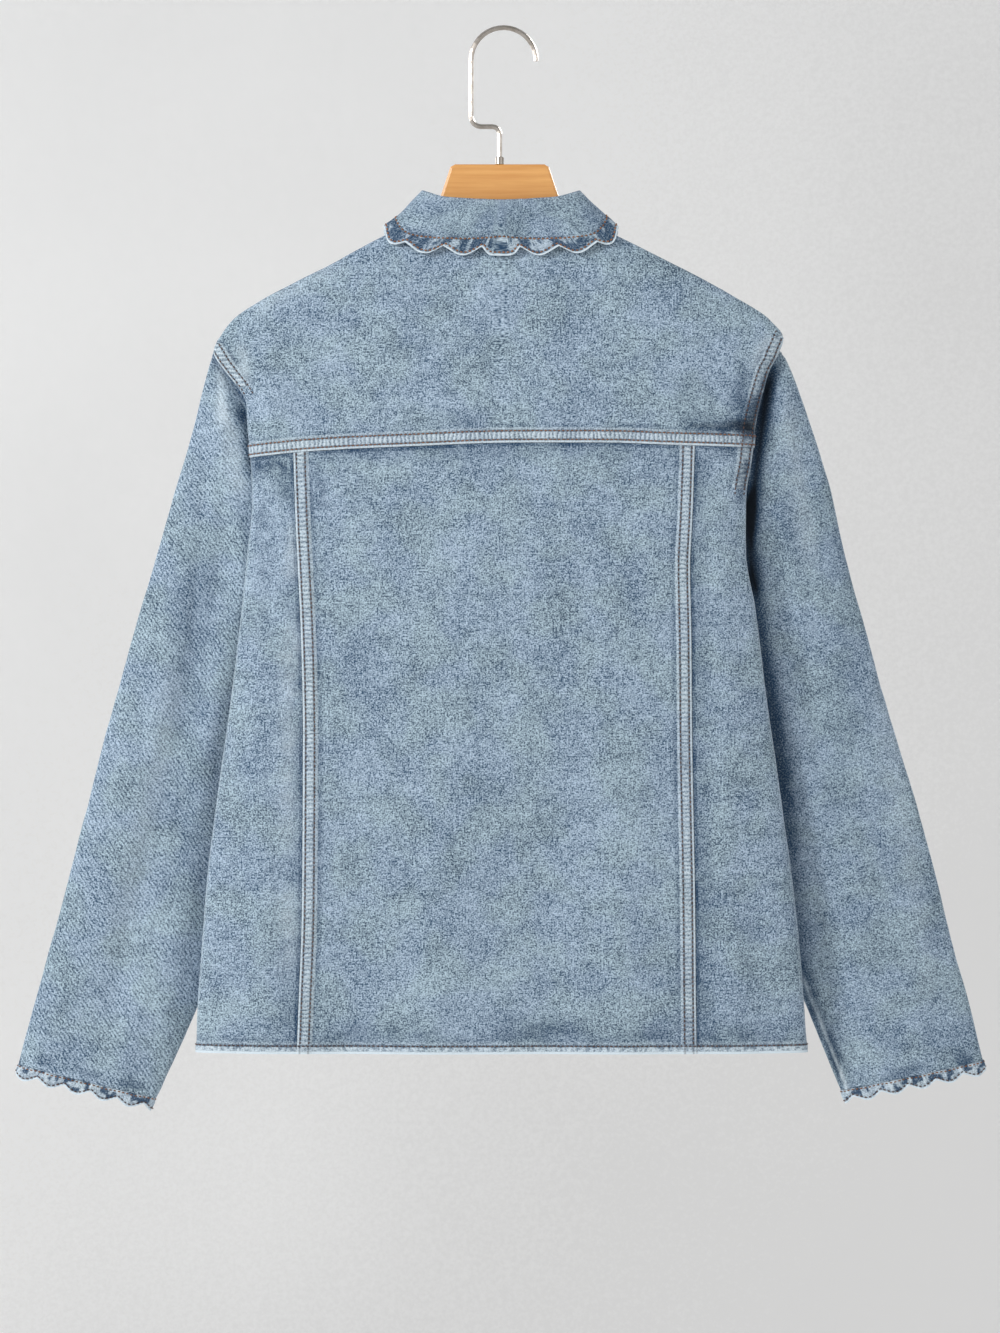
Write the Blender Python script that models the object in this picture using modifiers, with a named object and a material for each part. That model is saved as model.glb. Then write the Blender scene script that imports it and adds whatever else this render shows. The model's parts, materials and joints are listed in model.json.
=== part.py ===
"""A light-wash denim jacket with a scalloped collar and scalloped cuffs, hung flat on a wooden hanger.

The origin is the top of the inside of the hook, +Z is up, +X is the wearer's right and the jacket's
back faces -Y. Lengths are in millimetres until `MM` turns them into metres. A "drop" is a height
measured downwards from the origin. Cloth is worked out on a flattened tube: a place on it is an
"arc", measured round the tube from the centre back, and a drop.
"""

import functools
import math

import bmesh
import bpy
import numpy as np

MM = 0.001
COLLECTION = "denim_jacket"

# Cloth
WALL = 1.5
SEAM_GAP = 0.3
SEAM_WIDTH = 10.0
SEAM_RISE = 0.9
HEM_DEPTH = 7.0
HEM_RISE = 0.8
SEAM_STEP = 0.8
NUDGE = 0.05

# Drops of the levels that several pieces share
ARMHOLE_TOP = 241.0
UNDERARM = 452.0
HEM_DROP = 776.5
FRONT_NECK = 225.0
BACK_NECK = 158.0
SIDE_NECK = 146.0
NECK_HALF_WIDTH = 66.0
NECK_GAP = 1.2
NECK_INSET = 0.9
SHOULDER_SEAM = 4.0
SIDE_SEAM = 48.0
YOKE_MIDDLE = 320.0
YOKE_EDGE = 321.0
YOKE_ARMHOLE = 325.0

# Levels of the panels' rows, besides the armhole's own
BODY_LEVELS = (740.0, 690.0, 630.0, 570.0, 510.0, 470.0)
YOKE_LEVELS = (236.0, 228.0, 218.0, 205.0, 188.0, 172.0, 160.0)
SHOULDER_LEVELS = (228.0, 212.0, 195.0, 178.0, 162.0)
YOKE_END_COLUMNS = (0.0, 0.008, 0.02, 0.036)

# The body tube: its left and right edges, how deep it is behind and before the edges, and how square.
BODY_COLUMNS = ("drop", "left", "right", "back", "front", "square")
BODY_ROWS = (
    (140.0, -54.0, 54.0, 13.0, 13.0, 4.0),
    (146.0, -66.0, 66.0, 13.0, 13.0, 4.0),
    (159.6, -94.5, 94.0, 13.5, 13.5, 4.0),
    (176.3, -125.4, 127.0, 14.0, 14.0, 4.0),
    (205.2, -180.9, 180.9, 14.0, 14.0, 4.0),
    (220.4, -203.7, 203.7, 14.0, 14.0, 4.0),
    (235.6, -214.3, 214.0, 14.0, 14.0, 3.8),
    (245.5, -217.5, 210.5, 14.5, 14.5, 3.6),
    (258.4, -210.0, 204.0, 15.0, 15.0, 3.4),
    (272.8, -199.0, 199.5, 15.5, 15.0, 3.2),
    (285.0, -193.5, 196.2, 16.0, 15.5, 3.1),
    (304.0, -192.6, 192.3, 17.0, 16.0, 3.0),
    (325.3, -190.2, 190.2, 18.0, 16.0, 3.0),
    (354.2, -189.2, 185.8, 19.0, 16.0, 2.8),
    (396.7, -193.0, 186.0, 20.0, 16.0, 2.6),
    (438.5, -197.1, 192.8, 20.0, 16.0, 2.6),
    (507.7, -205.2, 202.0, 20.0, 16.0, 2.6),
    (585.2, -215.8, 212.8, 20.0, 16.0, 2.6),
    (661.2, -225.0, 223.4, 19.0, 15.0, 2.6),
    (749.4, -231.4, 230.6, 18.0, 15.0, 2.6),
    (790.0, -232.3, 233.0, 18.0, 15.0, 2.6),
)

# Soft upright folds of the body: where each lies, over which drops, how wide and how far out it stands.
FOLD_COLUMNS = ("face", "across", "top", "bottom", "width", "out")
FOLD_ROWS = (
    ("back", -178.0, 520.0, 800.0, 15.0, 2.4),
    ("back", -112.0, 560.0, 800.0, 20.0, -1.8),
    ("back", -52.0, 600.0, 800.0, 26.0, 1.8),
    ("back", 28.0, 560.0, 800.0, 24.0, -1.6),
    ("back", 96.0, 520.0, 800.0, 22.0, 1.8),
    ("back", 176.0, 470.0, 800.0, 14.0, 2.0),
    ("back", 150.0, 250.0, 316.0, 16.0, -1.8),
    ("back", -120.0, 215.0, 300.0, 20.0, -1.2),
    ("front", -120.0, 470.0, 800.0, 24.0, 2.2),
    ("front", -62.0, 540.0, 800.0, 20.0, -1.8),
    ("front", 66.0, 520.0, 800.0, 22.0, -1.8),
    ("front", 124.0, 480.0, 800.0, 24.0, 2.2),
)

# The seams between the centre back panel and the side panels.
PRINCESS_COLUMNS = ("drop", "left", "right")
PRINCESS_ROWS = (
    (310.0, -157.6, 146.8),
    (366.0, -155.8, 144.9),
    (409.0, -153.7, 142.9),
    (463.0, -151.2, 143.9),
    (540.0, -149.8, 144.5),
    (661.0, -150.5, 146.7),
    (748.0, -153.5, 147.5),
    (790.0, -155.0, 148.0),
)

# The seam below the yoke.
YOKE_COLUMNS = ("across", "drop")
YOKE_ROWS = (
    (-190.0, 325.2),
    (-144.0, 321.0),
    (-67.0, 317.3),
    (14.0, 314.6),
    (77.0, 314.6),
    (130.0, 316.2),
    (190.0, 317.7),
)

# The armhole: how far past the tube's edge its back and its front run, level by level.
ARMHOLE_COLUMNS = ("drop", "back", "front")
ARMHOLE_ROWS = (
    (241.0, 4.0, 4.0),
    (248.0, 1.2, 13.0),
    (258.0, 0.6, 22.0),
    (272.0, 1.0, 32.0),
    (290.0, 2.5, 42.0),
    (308.0, 4.0, 49.0),
    (325.0, 5.0, 55.0),
    (345.0, 5.5, 61.0),
    (370.0, 6.0, 67.0),
    (395.0, 8.0, 71.0),
    (417.0, 13.0, 72.5),
    (434.0, 21.0, 70.5),
    (445.0, 31.0, 64.0),
    (452.0, 48.0, 48.0),
)

# The sleeves' outer and inner edges.
OUTER_COLUMNS = ("drop", "left", "right")
OUTER_ROWS = (
    (241.0, -217.5, 215.5),
    (250.8, -219.6, 219.6),
    (281.2, -229.5, 230.3),
    (311.6, -237.9, 240.9),
    (342.0, -247.0, 250.8),
    (402.8, -264.5, 265.2),
    (463.6, -283.5, 282.0),
    (524.4, -300.2, 298.7),
    (585.2, -316.2, 316.9),
    (646.0, -332.1, 333.6),
    (706.8, -348.1, 348.8),
    (737.2, -356.4, 358.0),
    (788.0, -370.0, 370.5),
)
INNER_COLUMNS = ("drop", "left", "right")
INNER_ROWS = (
    (452.0, -150.0, 146.0),
    (509.0, -152.0, 150.0),
    (585.0, -172.0, 171.0),
    (661.0, -200.0, 200.0),
    (748.6, -234.0, 236.0),
    (814.0, -263.7, 262.2),
)
CUFF_DROPS = {"left": (788.0, 814.0), "right": (784.8, 808.0)}

# A sleeve from the armhole, 0, to the cuff, 1: the depth its outer and inner edges lie at, its half
# depth, and how far it has left the armhole's own shape.
SLEEVE_COLUMNS = ("along", "outer_middle", "inner_middle", "depth", "join")
SLEEVE_ROWS = (
    (0.00, 2.0, 15.0, 8.0, 0.0),
    (0.03, 3.0, 19.0, 8.5, 0.35),
    (0.06, 6.0, 22.0, 9.0, 0.65),
    (0.10, 12.0, 26.0, 10.0, 0.88),
    (0.15, 18.0, 29.0, 11.5, 1.0),
    (0.25, 24.0, 33.0, 13.0, 1.0),
    (0.50, 27.0, 33.0, 13.0, 1.0),
    (0.75, 26.0, 30.0, 12.0, 1.0),
    (1.00, 24.0, 25.0, 10.0, 1.0),
)
SLEEVE_STATIONS = (0.03, 0.06, 0.10, 0.15, 0.21, 0.28, 0.36, 0.44, 0.52, 0.60, 0.68, 0.76, 0.84, 0.92, 1.0)
SLEEVE_SQUARE = 2.5

# The sleeve's first rings: how far in from the armhole's edge, and how far out of the body.
SLEEVE_HEAD_COLUMNS = ("inward", "outward")
SLEEVE_HEAD_ROWS = (
    (0.7, 0.0),
    (1.8, 0.4),
    (2.8, 2.4),
)

# Folds of the sleeves: the place across from the outer to the inner edge, the stretch, width and height.
SLEEVE_FOLD_COLUMNS = ("side", "across", "slide", "start", "end", "width", "out")
SLEEVE_FOLD_ROWS = (
    ("left", 0.52, 0.10, 0.05, 0.55, 0.09, 3.0),
    ("left", 0.34, 0.16, 0.12, 0.95, 0.10, -3.2),
    ("left", 0.70, 0.0, 0.45, 1.05, 0.10, 1.8),
    ("right", 0.40, -0.10, 0.10, 0.50, 0.10, -3.0),
    ("right", 0.62, -0.20, 0.15, 0.80, 0.10, 2.4),
    ("right", 0.30, 0.10, 0.50, 1.05, 0.10, 2.0),
)

# Collar: its top fold and its outer edge, by the turn from the centre back to the centre front.
COLLAR_COLUMNS = ("turn", "fold_drop", "edge_drop", "fold_depth", "edge_depth")
COLLAR_ROWS = (
    (0.0, 131.0, 173.5, 16.0, 19.0),
    (0.2, 128.5, 169.5, 16.0, 19.0),
    (0.35, 124.5, 162.5, 16.0, 19.5),
    (0.44, 123.0, 155.0, 16.0, 20.0),
    (0.5, 122.5, 152.0, 16.0, 21.0),
    (0.6, 132.0, 166.0, 17.0, 23.0),
    (0.75, 166.0, 214.0, 19.0, 23.5),
    (0.9, 198.0, 244.0, 20.0, 23.0),
    (1.0, 207.0, 250.0, 20.5, 23.0),
)
FOLD_HALF_WIDTH = 61.0
EDGE_HALF_WIDTH = 89.0
COLLAR_END = 0.985
COLLAR_SIDE = 0.4
LAST_FRONT_TURN = 0.9375

# The collar's stand lies inside its fall, further at the front than at the back.
STAND_INSET = 2.6
STAND_DROP = 2.0
STAND_FRONT_INSET = 1.3
STAND_FRONT_DROP = 2.4

# The fold over the top of the collar, from inside to outside, beside its half width, depth and drop.
FALL_COLUMNS = ("wider", "deeper", "lower")
FALL_ROWS = (
    (-2.6, -2.8, 0.5),
    (-1.3, -1.3, -0.6),
    (0.3, 0.3, 0.8),
)
FALL_PARTS = (0.12, 0.5, 0.85, 1.0)
FALL_START = 0.8
FOLD_SQUARE = 3.0
EDGE_SQUARE = 5.5
COLLAR_SCALLOPS = 17
COLLAR_SCALLOP_DEPTH = 6.5
CUFF_SCALLOPS = 11
CUFF_SCALLOP_DEPTH = 4.6
CUFF_HEIGHT = 11.4
POINTS_PER_SCALLOP = 6

# Front band and buttons
BAND_HALF_WIDTH = 15.0
BUTTONS = 6
BUTTON_RADIUS = 8.5
BUTTON_HEIGHT = 3.0
BUTTON_BEVEL = 0.8
FIRST_BUTTON = 268.0
LAST_BUTTON = 745.0

# Hanger
WIRE_RADIUS = 1.9
HOOK_RADIUS = 24.7
HOOK_CENTRE = (1.9, -22.8)
JOG_HEIGHT = -73.4
JOG_BEND = 7.5
STEM_X = -1.1
STEM_BEND = 5.5
FERRULE_RADIUS = 3.3
FERRULE_TOP = -96.5
FERRULE_EDGE = 0.6
WOOD_TOP = -102.4
WOOD_THICKNESS = 10.0
WOOD_BEVEL = 3.8

DENIM = (0.27, 0.36, 0.45)
DENIM_SLEEVE = (0.25, 0.34, 0.43)
WOOD = (0.72, 0.37, 0.13)
NICKEL = (0.60, 0.56, 0.52)


def column(rows, names, name):
    """One named column of a table."""
    return np.array([row[names.index(name)] for row in rows])


def smooth(at, places, values):
    """A curve without overshoot through the values of a table."""
    places = np.asarray(places, float)
    values = np.asarray(values, float)
    steps = np.diff(places)
    slopes = np.diff(values) / steps
    same_way = slopes[:-1] * slopes[1:] > 0
    total = np.where(same_way, slopes[:-1] + slopes[1:], 1.0)
    middle = np.where(same_way, 2 * slopes[:-1] * slopes[1:] / total, 0.0)
    tangents = np.concatenate([[slopes[0]], middle, [slopes[-1]]])
    at = np.clip(at, places[0], places[-1])
    span = np.clip(np.searchsorted(places, at, side="right") - 1, 0, len(steps) - 1)
    part = (at - places[span]) / steps[span]
    rise = part * part * (3 - 2 * part)
    start = part * (1 - part) ** 2 * steps[span]
    end = part * part * (part - 1) * steps[span]
    return (
        values[span] * (1 - rise)
        + values[span + 1] * rise
        + tangents[span] * start
        + tangents[span + 1] * end
    )


def looked_up(rows, names, by, wanted, at):
    return smooth(at, column(rows, names, by), column(rows, names, wanted))


def bump(distance, width):
    return np.exp(-((distance / width) ** 2))


def eased(part):
    part = np.clip(part, 0.0, 1.0)
    return part * part * (3 - 2 * part)


def root(value, square):
    """The coordinate of a squared-off ellipse."""
    return np.sign(value) * np.abs(value) ** (2 / square)


# The body tube


def tube_point(turn, drop):
    """A point of the body tube. The turn is 0 at the centre back and half pi at the right edge."""
    left = looked_up(BODY_ROWS, BODY_COLUMNS, "drop", "left", drop)
    right = looked_up(BODY_ROWS, BODY_COLUMNS, "drop", "right", drop)
    back = looked_up(BODY_ROWS, BODY_COLUMNS, "drop", "back", drop)
    front = looked_up(BODY_ROWS, BODY_COLUMNS, "drop", "front", drop)
    square = looked_up(BODY_ROWS, BODY_COLUMNS, "drop", "square", drop)
    across = (left + right) / 2 + (right - left) / 2 * root(np.sin(turn), square)
    forward = np.cos(turn) < 0
    depth = np.where(forward, front, back)
    out = 0.0
    for row in FOLD_ROWS:
        fold = dict(zip(FOLD_COLUMNS, row))
        here = forward if fold["face"] == "front" else ~forward
        grow = eased((drop - fold["top"]) / 60) * eased((fold["bottom"] - drop) / 30)
        out = out + here * fold["out"] * grow * bump(across - fold["across"], fold["width"])
    near_edge = np.abs(np.cos(turn)) ** 0.5
    y = -(depth * root(np.cos(turn), square)) - np.sign(np.cos(turn)) * out * near_edge
    return np.stack([across, y, -drop + 0 * across], axis=-1)


@functools.lru_cache(maxsize=None)
def section(drop):
    """Turns round the tube at one drop and the arcs they lie at, 0 at the centre back."""
    turns = np.linspace(-math.pi, math.pi, 1441)
    points = tube_point(turns, np.full(len(turns), drop))
    arcs = np.concatenate([[0.0], np.cumsum(np.linalg.norm(np.diff(points, axis=0), axis=1))])
    return turns, arcs - np.interp(0.0, turns, arcs), points[:, 0]


def edge_arc(side, drop, beyond=0.0):
    """The arc of the tube's left or right edge, and beyond it towards the front."""
    turns, arcs, _ = section(float(drop))
    sign = -1 if side == "left" else 1
    return float(np.interp(sign * math.pi / 2, turns, arcs)) + sign * beyond


def back_arc(across, drop):
    """The arc of a place on the back that is given by its x."""
    turns, arcs, xs = section(float(drop))
    on_back = np.abs(turns) <= math.pi / 2
    return float(np.interp(across, xs[on_back], arcs[on_back]))


def front_arc(side, across, drop):
    """The arc of a place on the front that is given by its x."""
    turns, arcs, xs = section(float(drop))
    if side == "left":
        chosen = turns <= -math.pi / 2
        return float(np.interp(-across, -xs[chosen], arcs[chosen]))
    chosen = turns >= math.pi / 2
    return float(np.interp(-across, -xs[chosen], arcs[chosen]))


def on_tube(arc, drop):
    turns, arcs, _ = section(float(drop))
    return tube_point(np.array(np.interp(arc, arcs, turns)), np.array(float(drop)))


def normal_on_tube(arc, drop):
    round_it = on_tube(arc + NUDGE, drop) - on_tube(arc - NUDGE, drop)
    down_it = on_tube(arc, drop + NUDGE) - on_tube(arc, drop - NUDGE)
    normal = np.cross(down_it, round_it)
    return normal / np.linalg.norm(normal)


def yoke_seam(arc):
    """The drop of the seam between the yoke and the panels below it."""
    across = on_tube(arc, YOKE_MIDDLE)[0]
    return float(looked_up(YOKE_ROWS, YOKE_COLUMNS, "across", "drop", across))


def armhole(side, face, drop):
    beyond = looked_up(ARMHOLE_ROWS, ARMHOLE_COLUMNS, "drop", face, drop)
    return edge_arc(side, drop, float(beyond))


# Objects


def material(name, colour, roughness, metallic=0.0):
    made = bpy.data.materials.new(name)
    made.use_nodes = True
    shader = made.node_tree.nodes["Principled BSDF"]
    shader.inputs["Base Color"].default_value = (*colour, 1.0)
    shader.inputs["Roughness"].default_value = roughness
    shader.inputs["Metallic"].default_value = metallic
    return made


def add_object(name, data, colour, roughness, metallic=0.0):
    placed = bpy.data.objects.new(name, data)
    data.materials.append(material(name, colour, roughness, metallic))
    bpy.data.collections[COLLECTION].objects.link(placed)
    return placed


def cloth(name, outer, inner, colour, closed=False):
    """A wall of cloth between two grids of points; a closed one is a tube round its second direction."""
    rows, columns = outer.shape[:2]
    shape = bmesh.new()
    sides = [
        [[shape.verts.new(grid[row, place] * MM) for place in range(columns)] for row in range(rows)]
        for grid in (outer, inner)
    ]
    last = columns if closed else columns - 1
    for row in range(rows - 1):
        for place in range(last):
            following = (place + 1) % columns
            corners = ((row, place), (row, following), (row + 1, following), (row + 1, place))
            shape.faces.new([sides[0][i][j] for i, j in corners])
            shape.faces.new([sides[1][i][j] for i, j in reversed(corners)])

    def rim(here, there, order):
        outside, inside = sides
        corners = [outside[here[0]][here[1]], inside[here[0]][here[1]]]
        corners += [inside[there[0]][there[1]], outside[there[0]][there[1]]]
        shape.faces.new(corners[::order])

    for place in range(last):
        for row, order in ((0, 1), (rows - 1, -1)):
            rim((row, place), (row, (place + 1) % columns), order)
    if not closed:
        for row in range(rows - 1):
            for place, order in ((0, -1), (columns - 1, 1)):
                rim((row, place), (row + 1, place), order)
    bmesh.ops.recalc_face_normals(shape, faces=shape.faces)
    data = bpy.data.meshes.new(name)
    shape.to_mesh(data)
    shape.free()
    data.shade_smooth()
    data.set_sharp_from_angle(angle=math.radians(50))
    return add_object(name, data, colour, 0.9)


def panel(name, columns, rows, left, right, low, high, lift=0.0, colour=DENIM):
    """A panel of the body between two edges, given as arcs by drop, and two levels, given as drops.

    A column or a row is a fraction of the way, a distance past it and how far it stands proud.
    """
    outer = np.zeros((len(rows), len(columns), 3))
    inner = np.zeros_like(outer)
    for i, (up, rise_by, row_out) in enumerate(rows):
        for j, (part, move_by, column_out) in enumerate(columns):
            bottom, top = low(part, move_by), high(part, move_by)
            drop = bottom + (top - bottom) * up - rise_by
            arc = left(drop) * (1 - part) + right(drop) * part + move_by
            normal = normal_on_tube(arc, drop)
            base = on_tube(arc, drop) + normal * lift
            outer[i, j] = base + normal * max(row_out, column_out)
            inner[i, j] = base - normal * WALL
    return cloth(name, outer, inner, colour)


def evenly(count, start=0.0, end=1.0):
    """Plain columns or rows between two fractions, without the ends."""
    return [(float(part), 0.0, 0.0) for part in np.linspace(start, end, count + 2)[1:-1]]


HALF_GAP = SEAM_GAP / 2
HEM_ROWS = [(0.0, 0.0, HEM_RISE), (0.0, HEM_DEPTH, HEM_RISE), (0.0, HEM_DEPTH + SEAM_STEP, 0.0)]
LAPPED_LEFT = [(0.0, 0.0, SEAM_RISE), (0.0, SEAM_WIDTH, SEAM_RISE), (0.0, SEAM_WIDTH + SEAM_STEP, 0.0)]
LAPPED_RIGHT = [(1.0, -SEAM_WIDTH - SEAM_STEP, 0.0), (1.0, -SEAM_WIDTH, SEAM_RISE), (1.0, 0.0, SEAM_RISE)]


def princess(side, drop, gap):
    across = float(looked_up(PRINCESS_ROWS, PRINCESS_COLUMNS, "drop", side, drop))
    return back_arc(across, drop) + gap


def seam_between(left, right, gap, part, move_by):
    """The level of the yoke's seam at a column of a panel."""
    return yoke_seam(left(YOKE_MIDDLE) * (1 - part) + right(YOKE_MIDDLE) * part + move_by) + gap


def hem_level(part, move_by):
    return HEM_DROP


def make_back_center():
    """The centre back, which laps over the panels beside it."""
    left = functools.partial(princess, "left", gap=HALF_GAP)
    right = functools.partial(princess, "right", gap=-HALF_GAP)
    top = functools.partial(seam_between, left, right, HALF_GAP)
    columns = LAPPED_LEFT + evenly(9, 0.04, 0.96) + LAPPED_RIGHT
    rows = HEM_ROWS + evenly(9, 0.03, 1.0) + [(1.0, 0.0, 0.0)]
    panel("back_center", columns, rows, left, right, hem_level, top)


def rows_at(drops, bottom, top):
    """Plain rows of a panel at given levels."""
    return [((bottom - drop) / (bottom - top), 0.0, 0.0) for drop in drops]


def armhole_levels(low, high, bottom, top):
    """Rows at the armhole's own levels, so that the panel and the sleeve meet point by point."""
    drops = [drop for drop in column(ARMHOLE_ROWS, ARMHOLE_COLUMNS, "drop") if low > drop > high]
    return rows_at(sorted(drops, reverse=True), bottom, top)


def toward_front(side):
    return -1 if side == "left" else 1


def back_edge(side, drop, gap):
    """The outer edge of the back: the side seam, and above it the armhole or the shoulder seam."""
    inward = -toward_front(side) * gap
    if drop >= UNDERARM:
        return edge_arc(side, drop, SIDE_SEAM) + inward
    if drop > ARMHOLE_TOP:
        return armhole(side, "back", drop) + inward
    return edge_arc(side, drop, SHOULDER_SEAM) + inward


def front_edge(side, drop, gap):
    outward = toward_front(side) * gap
    if drop >= UNDERARM:
        return edge_arc(side, drop, SIDE_SEAM) + outward
    if drop > ARMHOLE_TOP:
        return armhole(side, "front", drop) + outward
    return edge_arc(side, drop, SHOULDER_SEAM) + outward


def make_back_side(side):
    """A side of the back, which wraps round the edge to the side seam."""
    outer_edge = functools.partial(back_edge, side, gap=HALF_GAP)
    seam = functools.partial(princess, side, gap=-HALF_GAP if side == "left" else HALF_GAP)
    left, right = (outer_edge, seam) if side == "left" else (seam, outer_edge)
    seam_drop = yoke_seam(edge_arc(side, YOKE_MIDDLE))
    top = functools.partial(seam_between, left, right, HALF_GAP)
    rows = HEM_ROWS + rows_at(BODY_LEVELS + (UNDERARM,), HEM_DROP, seam_drop)
    rows += armhole_levels(UNDERARM, seam_drop + 4, HEM_DROP, seam_drop) + [(1.0, 0.0, 0.0)]
    columns = [(0.0, 0.0, 0.0)] + evenly(11) + [(1.0, 0.0, 0.0)]
    panel(f"back_side_{side}", columns, rows, left, right, hem_level, top)


def back_neck(across):
    """The drop of the back neckline."""
    part = min(1.0, abs(across) / NECK_HALF_WIDTH)
    return SIDE_NECK + (BACK_NECK - SIDE_NECK) * math.cos(part * math.pi / 2)


def back_neck_of(left, right, part, move_by):
    """The drop of the back neckline where a column of the yoke meets it."""
    drop = BACK_NECK
    for _ in range(12):
        arc = left(drop) * (1 - part) + right(drop) * part
        drop = (drop + back_neck(float(on_tube(arc, drop)[0]))) / 2
    return drop


def make_back_yoke():
    """The yoke, felled over the panels below it, up to the neck and just over the shoulders."""
    left = functools.partial(back_edge, "left", gap=HALF_GAP)
    right = functools.partial(back_edge, "right", gap=HALF_GAP)
    low = functools.partial(seam_between, left, right, -HALF_GAP)
    high = functools.lru_cache(maxsize=None)(functools.partial(back_neck_of, left, right))
    rows = [(0.0, 0.0, SEAM_RISE), (0.0, SEAM_WIDTH, SEAM_RISE), (0.0, SEAM_WIDTH + SEAM_STEP, 0.0)]
    rows += armhole_levels(YOKE_EDGE - SEAM_WIDTH - 2, ARMHOLE_TOP - 0.5, YOKE_EDGE, SIDE_NECK)
    rows += rows_at(YOKE_LEVELS, YOKE_EDGE, SIDE_NECK) + [(1.0, 0.0, 0.0)]
    columns = [(part, 0.0, 0.0) for part in YOKE_END_COLUMNS] + evenly(13, 0.02, 0.98)
    columns += [(1 - part, 0.0, 0.0) for part in YOKE_END_COLUMNS[::-1]]
    panel("back_yoke", columns, rows, left, right, low, high)


def front_neck(part):
    """Half width and drop of the front neckline from the shoulder, 0, to the band, 1."""
    angle = min(part, 1.0) * math.pi / 2
    end = BAND_HALF_WIDTH + SEAM_GAP
    across = end + (NECK_HALF_WIDTH - end) * math.cos(angle)
    return across, SIDE_NECK + (FRONT_NECK - SIDE_NECK) * math.sin(angle)


def make_front(side):
    """A plain front from the side seam and armhole to the band, up to the neckline."""
    sign = toward_front(side)
    band = BAND_HALF_WIDTH + SEAM_GAP
    drops = [HEM_DROP, HEM_DROP - HEM_DEPTH, HEM_DROP - HEM_DEPTH - SEAM_STEP]
    drops += [*BODY_LEVELS, UNDERARM]
    drops += [float(drop) for drop in column(ARMHOLE_ROWS, ARMHOLE_COLUMNS, "drop")[-2::-1]]
    drops += [*SHOULDER_LEVELS, SIDE_NECK]
    lifts = [HEM_RISE, HEM_RISE] + [0.0] * (len(drops) - 2)
    parts = np.linspace(0, 1, 9)
    outer = np.zeros((len(drops), len(parts), 3))
    inner = np.zeros_like(outer)
    hem_edge = on_tube(front_edge(side, HEM_DROP, HALF_GAP), HEM_DROP)[0] * sign
    for i, (edge_drop, lift) in enumerate(zip(drops, lifts)):
        up = (HEM_DROP - edge_drop) / (HEM_DROP - SIDE_NECK)
        edge = on_tube(front_edge(side, edge_drop, HALF_GAP), edge_drop)[0] * sign
        for j, part in enumerate(parts):
            neck, neck_level = front_neck(part)
            hem = hem_edge * (1 - part) + band * part
            corners = (1 - up) * (1 - part) * hem_edge + up * (1 - part) * NECK_HALF_WIDTH + part * band
            across = (1 - up) * hem + up * neck + (1 - part) * edge + part * band - corners
            band_drop = HEM_DROP + (FRONT_NECK - HEM_DROP) * up
            plain = HEM_DROP + (SIDE_NECK + (FRONT_NECK - SIDE_NECK) * part - HEM_DROP) * up
            drop = (1 - up) * HEM_DROP + up * neck_level + (1 - part) * edge_drop + part * band_drop - plain
            arc = front_edge(side, edge_drop, HALF_GAP) if j == 0 else front_arc(side, sign * across, drop)
            normal = normal_on_tube(arc, drop)
            outer[i, j] = on_tube(arc, drop) + normal * lift
            inner[i, j] = on_tube(arc, drop) - normal * WALL
    cloth(f"front_{side}", outer, inner, DENIM)


def make_front_band(name, lift):
    """One of the two bands that close the front, one over the other."""
    outer = []
    inner = []
    for drop in np.linspace(HEM_DROP, FRONT_NECK + SEAM_GAP, 10):
        places = np.linspace(-BAND_HALF_WIDTH, BAND_HALF_WIDTH, 5)
        arcs = [front_arc("left" if place < 0 else "right", place, drop) for place in places]
        points = [on_tube(arc, drop) for arc in arcs]
        normals = [normal_on_tube(arc, drop) for arc in arcs]
        outer.append([point + normal * lift for point, normal in zip(points, normals)])
        inner.append([point + normal * (lift - WALL) for point, normal in zip(points, normals)])
    cloth(name, np.array(outer), np.array(inner), DENIM)


# Sleeves


def sleeve_fold(side, across, along):
    out = 0.0
    for row in SLEEVE_FOLD_ROWS:
        fold = dict(zip(SLEEVE_FOLD_COLUMNS, row))
        if fold["side"] == side:
            grow = eased((along - fold["start"]) / 0.12) * eased((fold["end"] - along) / 0.12)
            out += fold["out"] * grow * bump(across - fold["across"] - fold["slide"] * along, fold["width"])
    return out


def sleeve_point(side, turn, along):
    """A point of the sleeve. The turn runs from the outer edge, 0, down the back to the inner edge, pi."""
    cuff_outer, cuff_inner = CUFF_DROPS[side]
    outer_drop = ARMHOLE_TOP + (cuff_outer - ARMHOLE_TOP) * along
    inner_drop = UNDERARM + (cuff_inner - UNDERARM) * along
    outer_x = looked_up(OUTER_ROWS, OUTER_COLUMNS, "drop", side, outer_drop)
    inner_x = looked_up(INNER_ROWS, INNER_COLUMNS, "drop", side, inner_drop)
    outer_middle = looked_up(SLEEVE_ROWS, SLEEVE_COLUMNS, "along", "outer_middle", along)
    inner_middle = looked_up(SLEEVE_ROWS, SLEEVE_COLUMNS, "along", "inner_middle", along)
    depth = looked_up(SLEEVE_ROWS, SLEEVE_COLUMNS, "along", "depth", along)
    part = (1 - root(math.cos(turn), SLEEVE_SQUARE)) / 2
    fold = sleeve_fold(side, part, along) * math.sin(turn)
    middle = outer_middle + (inner_middle - outer_middle) * part
    y = middle - depth * root(math.sin(turn), SLEEVE_SQUARE) - fold
    x = outer_x + (inner_x - outer_x) * part
    drop = outer_drop + (inner_drop - outer_drop) * part
    return np.array([x, y, -drop])


def armhole_ring(side):
    """Arcs and drops of the armhole, from its top down the back and up the front."""
    drops = list(column(ARMHOLE_ROWS, ARMHOLE_COLUMNS, "drop"))
    seam = yoke_seam(edge_arc(side, YOKE_MIDDLE))
    drops = [seam if drop == YOKE_ARMHOLE else drop for drop in drops]
    back = [(armhole(side, "back", drop), drop) for drop in drops]
    front = [(armhole(side, "front", drop), drop) for drop in drops[-2:0:-1]]
    return back + front


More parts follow.
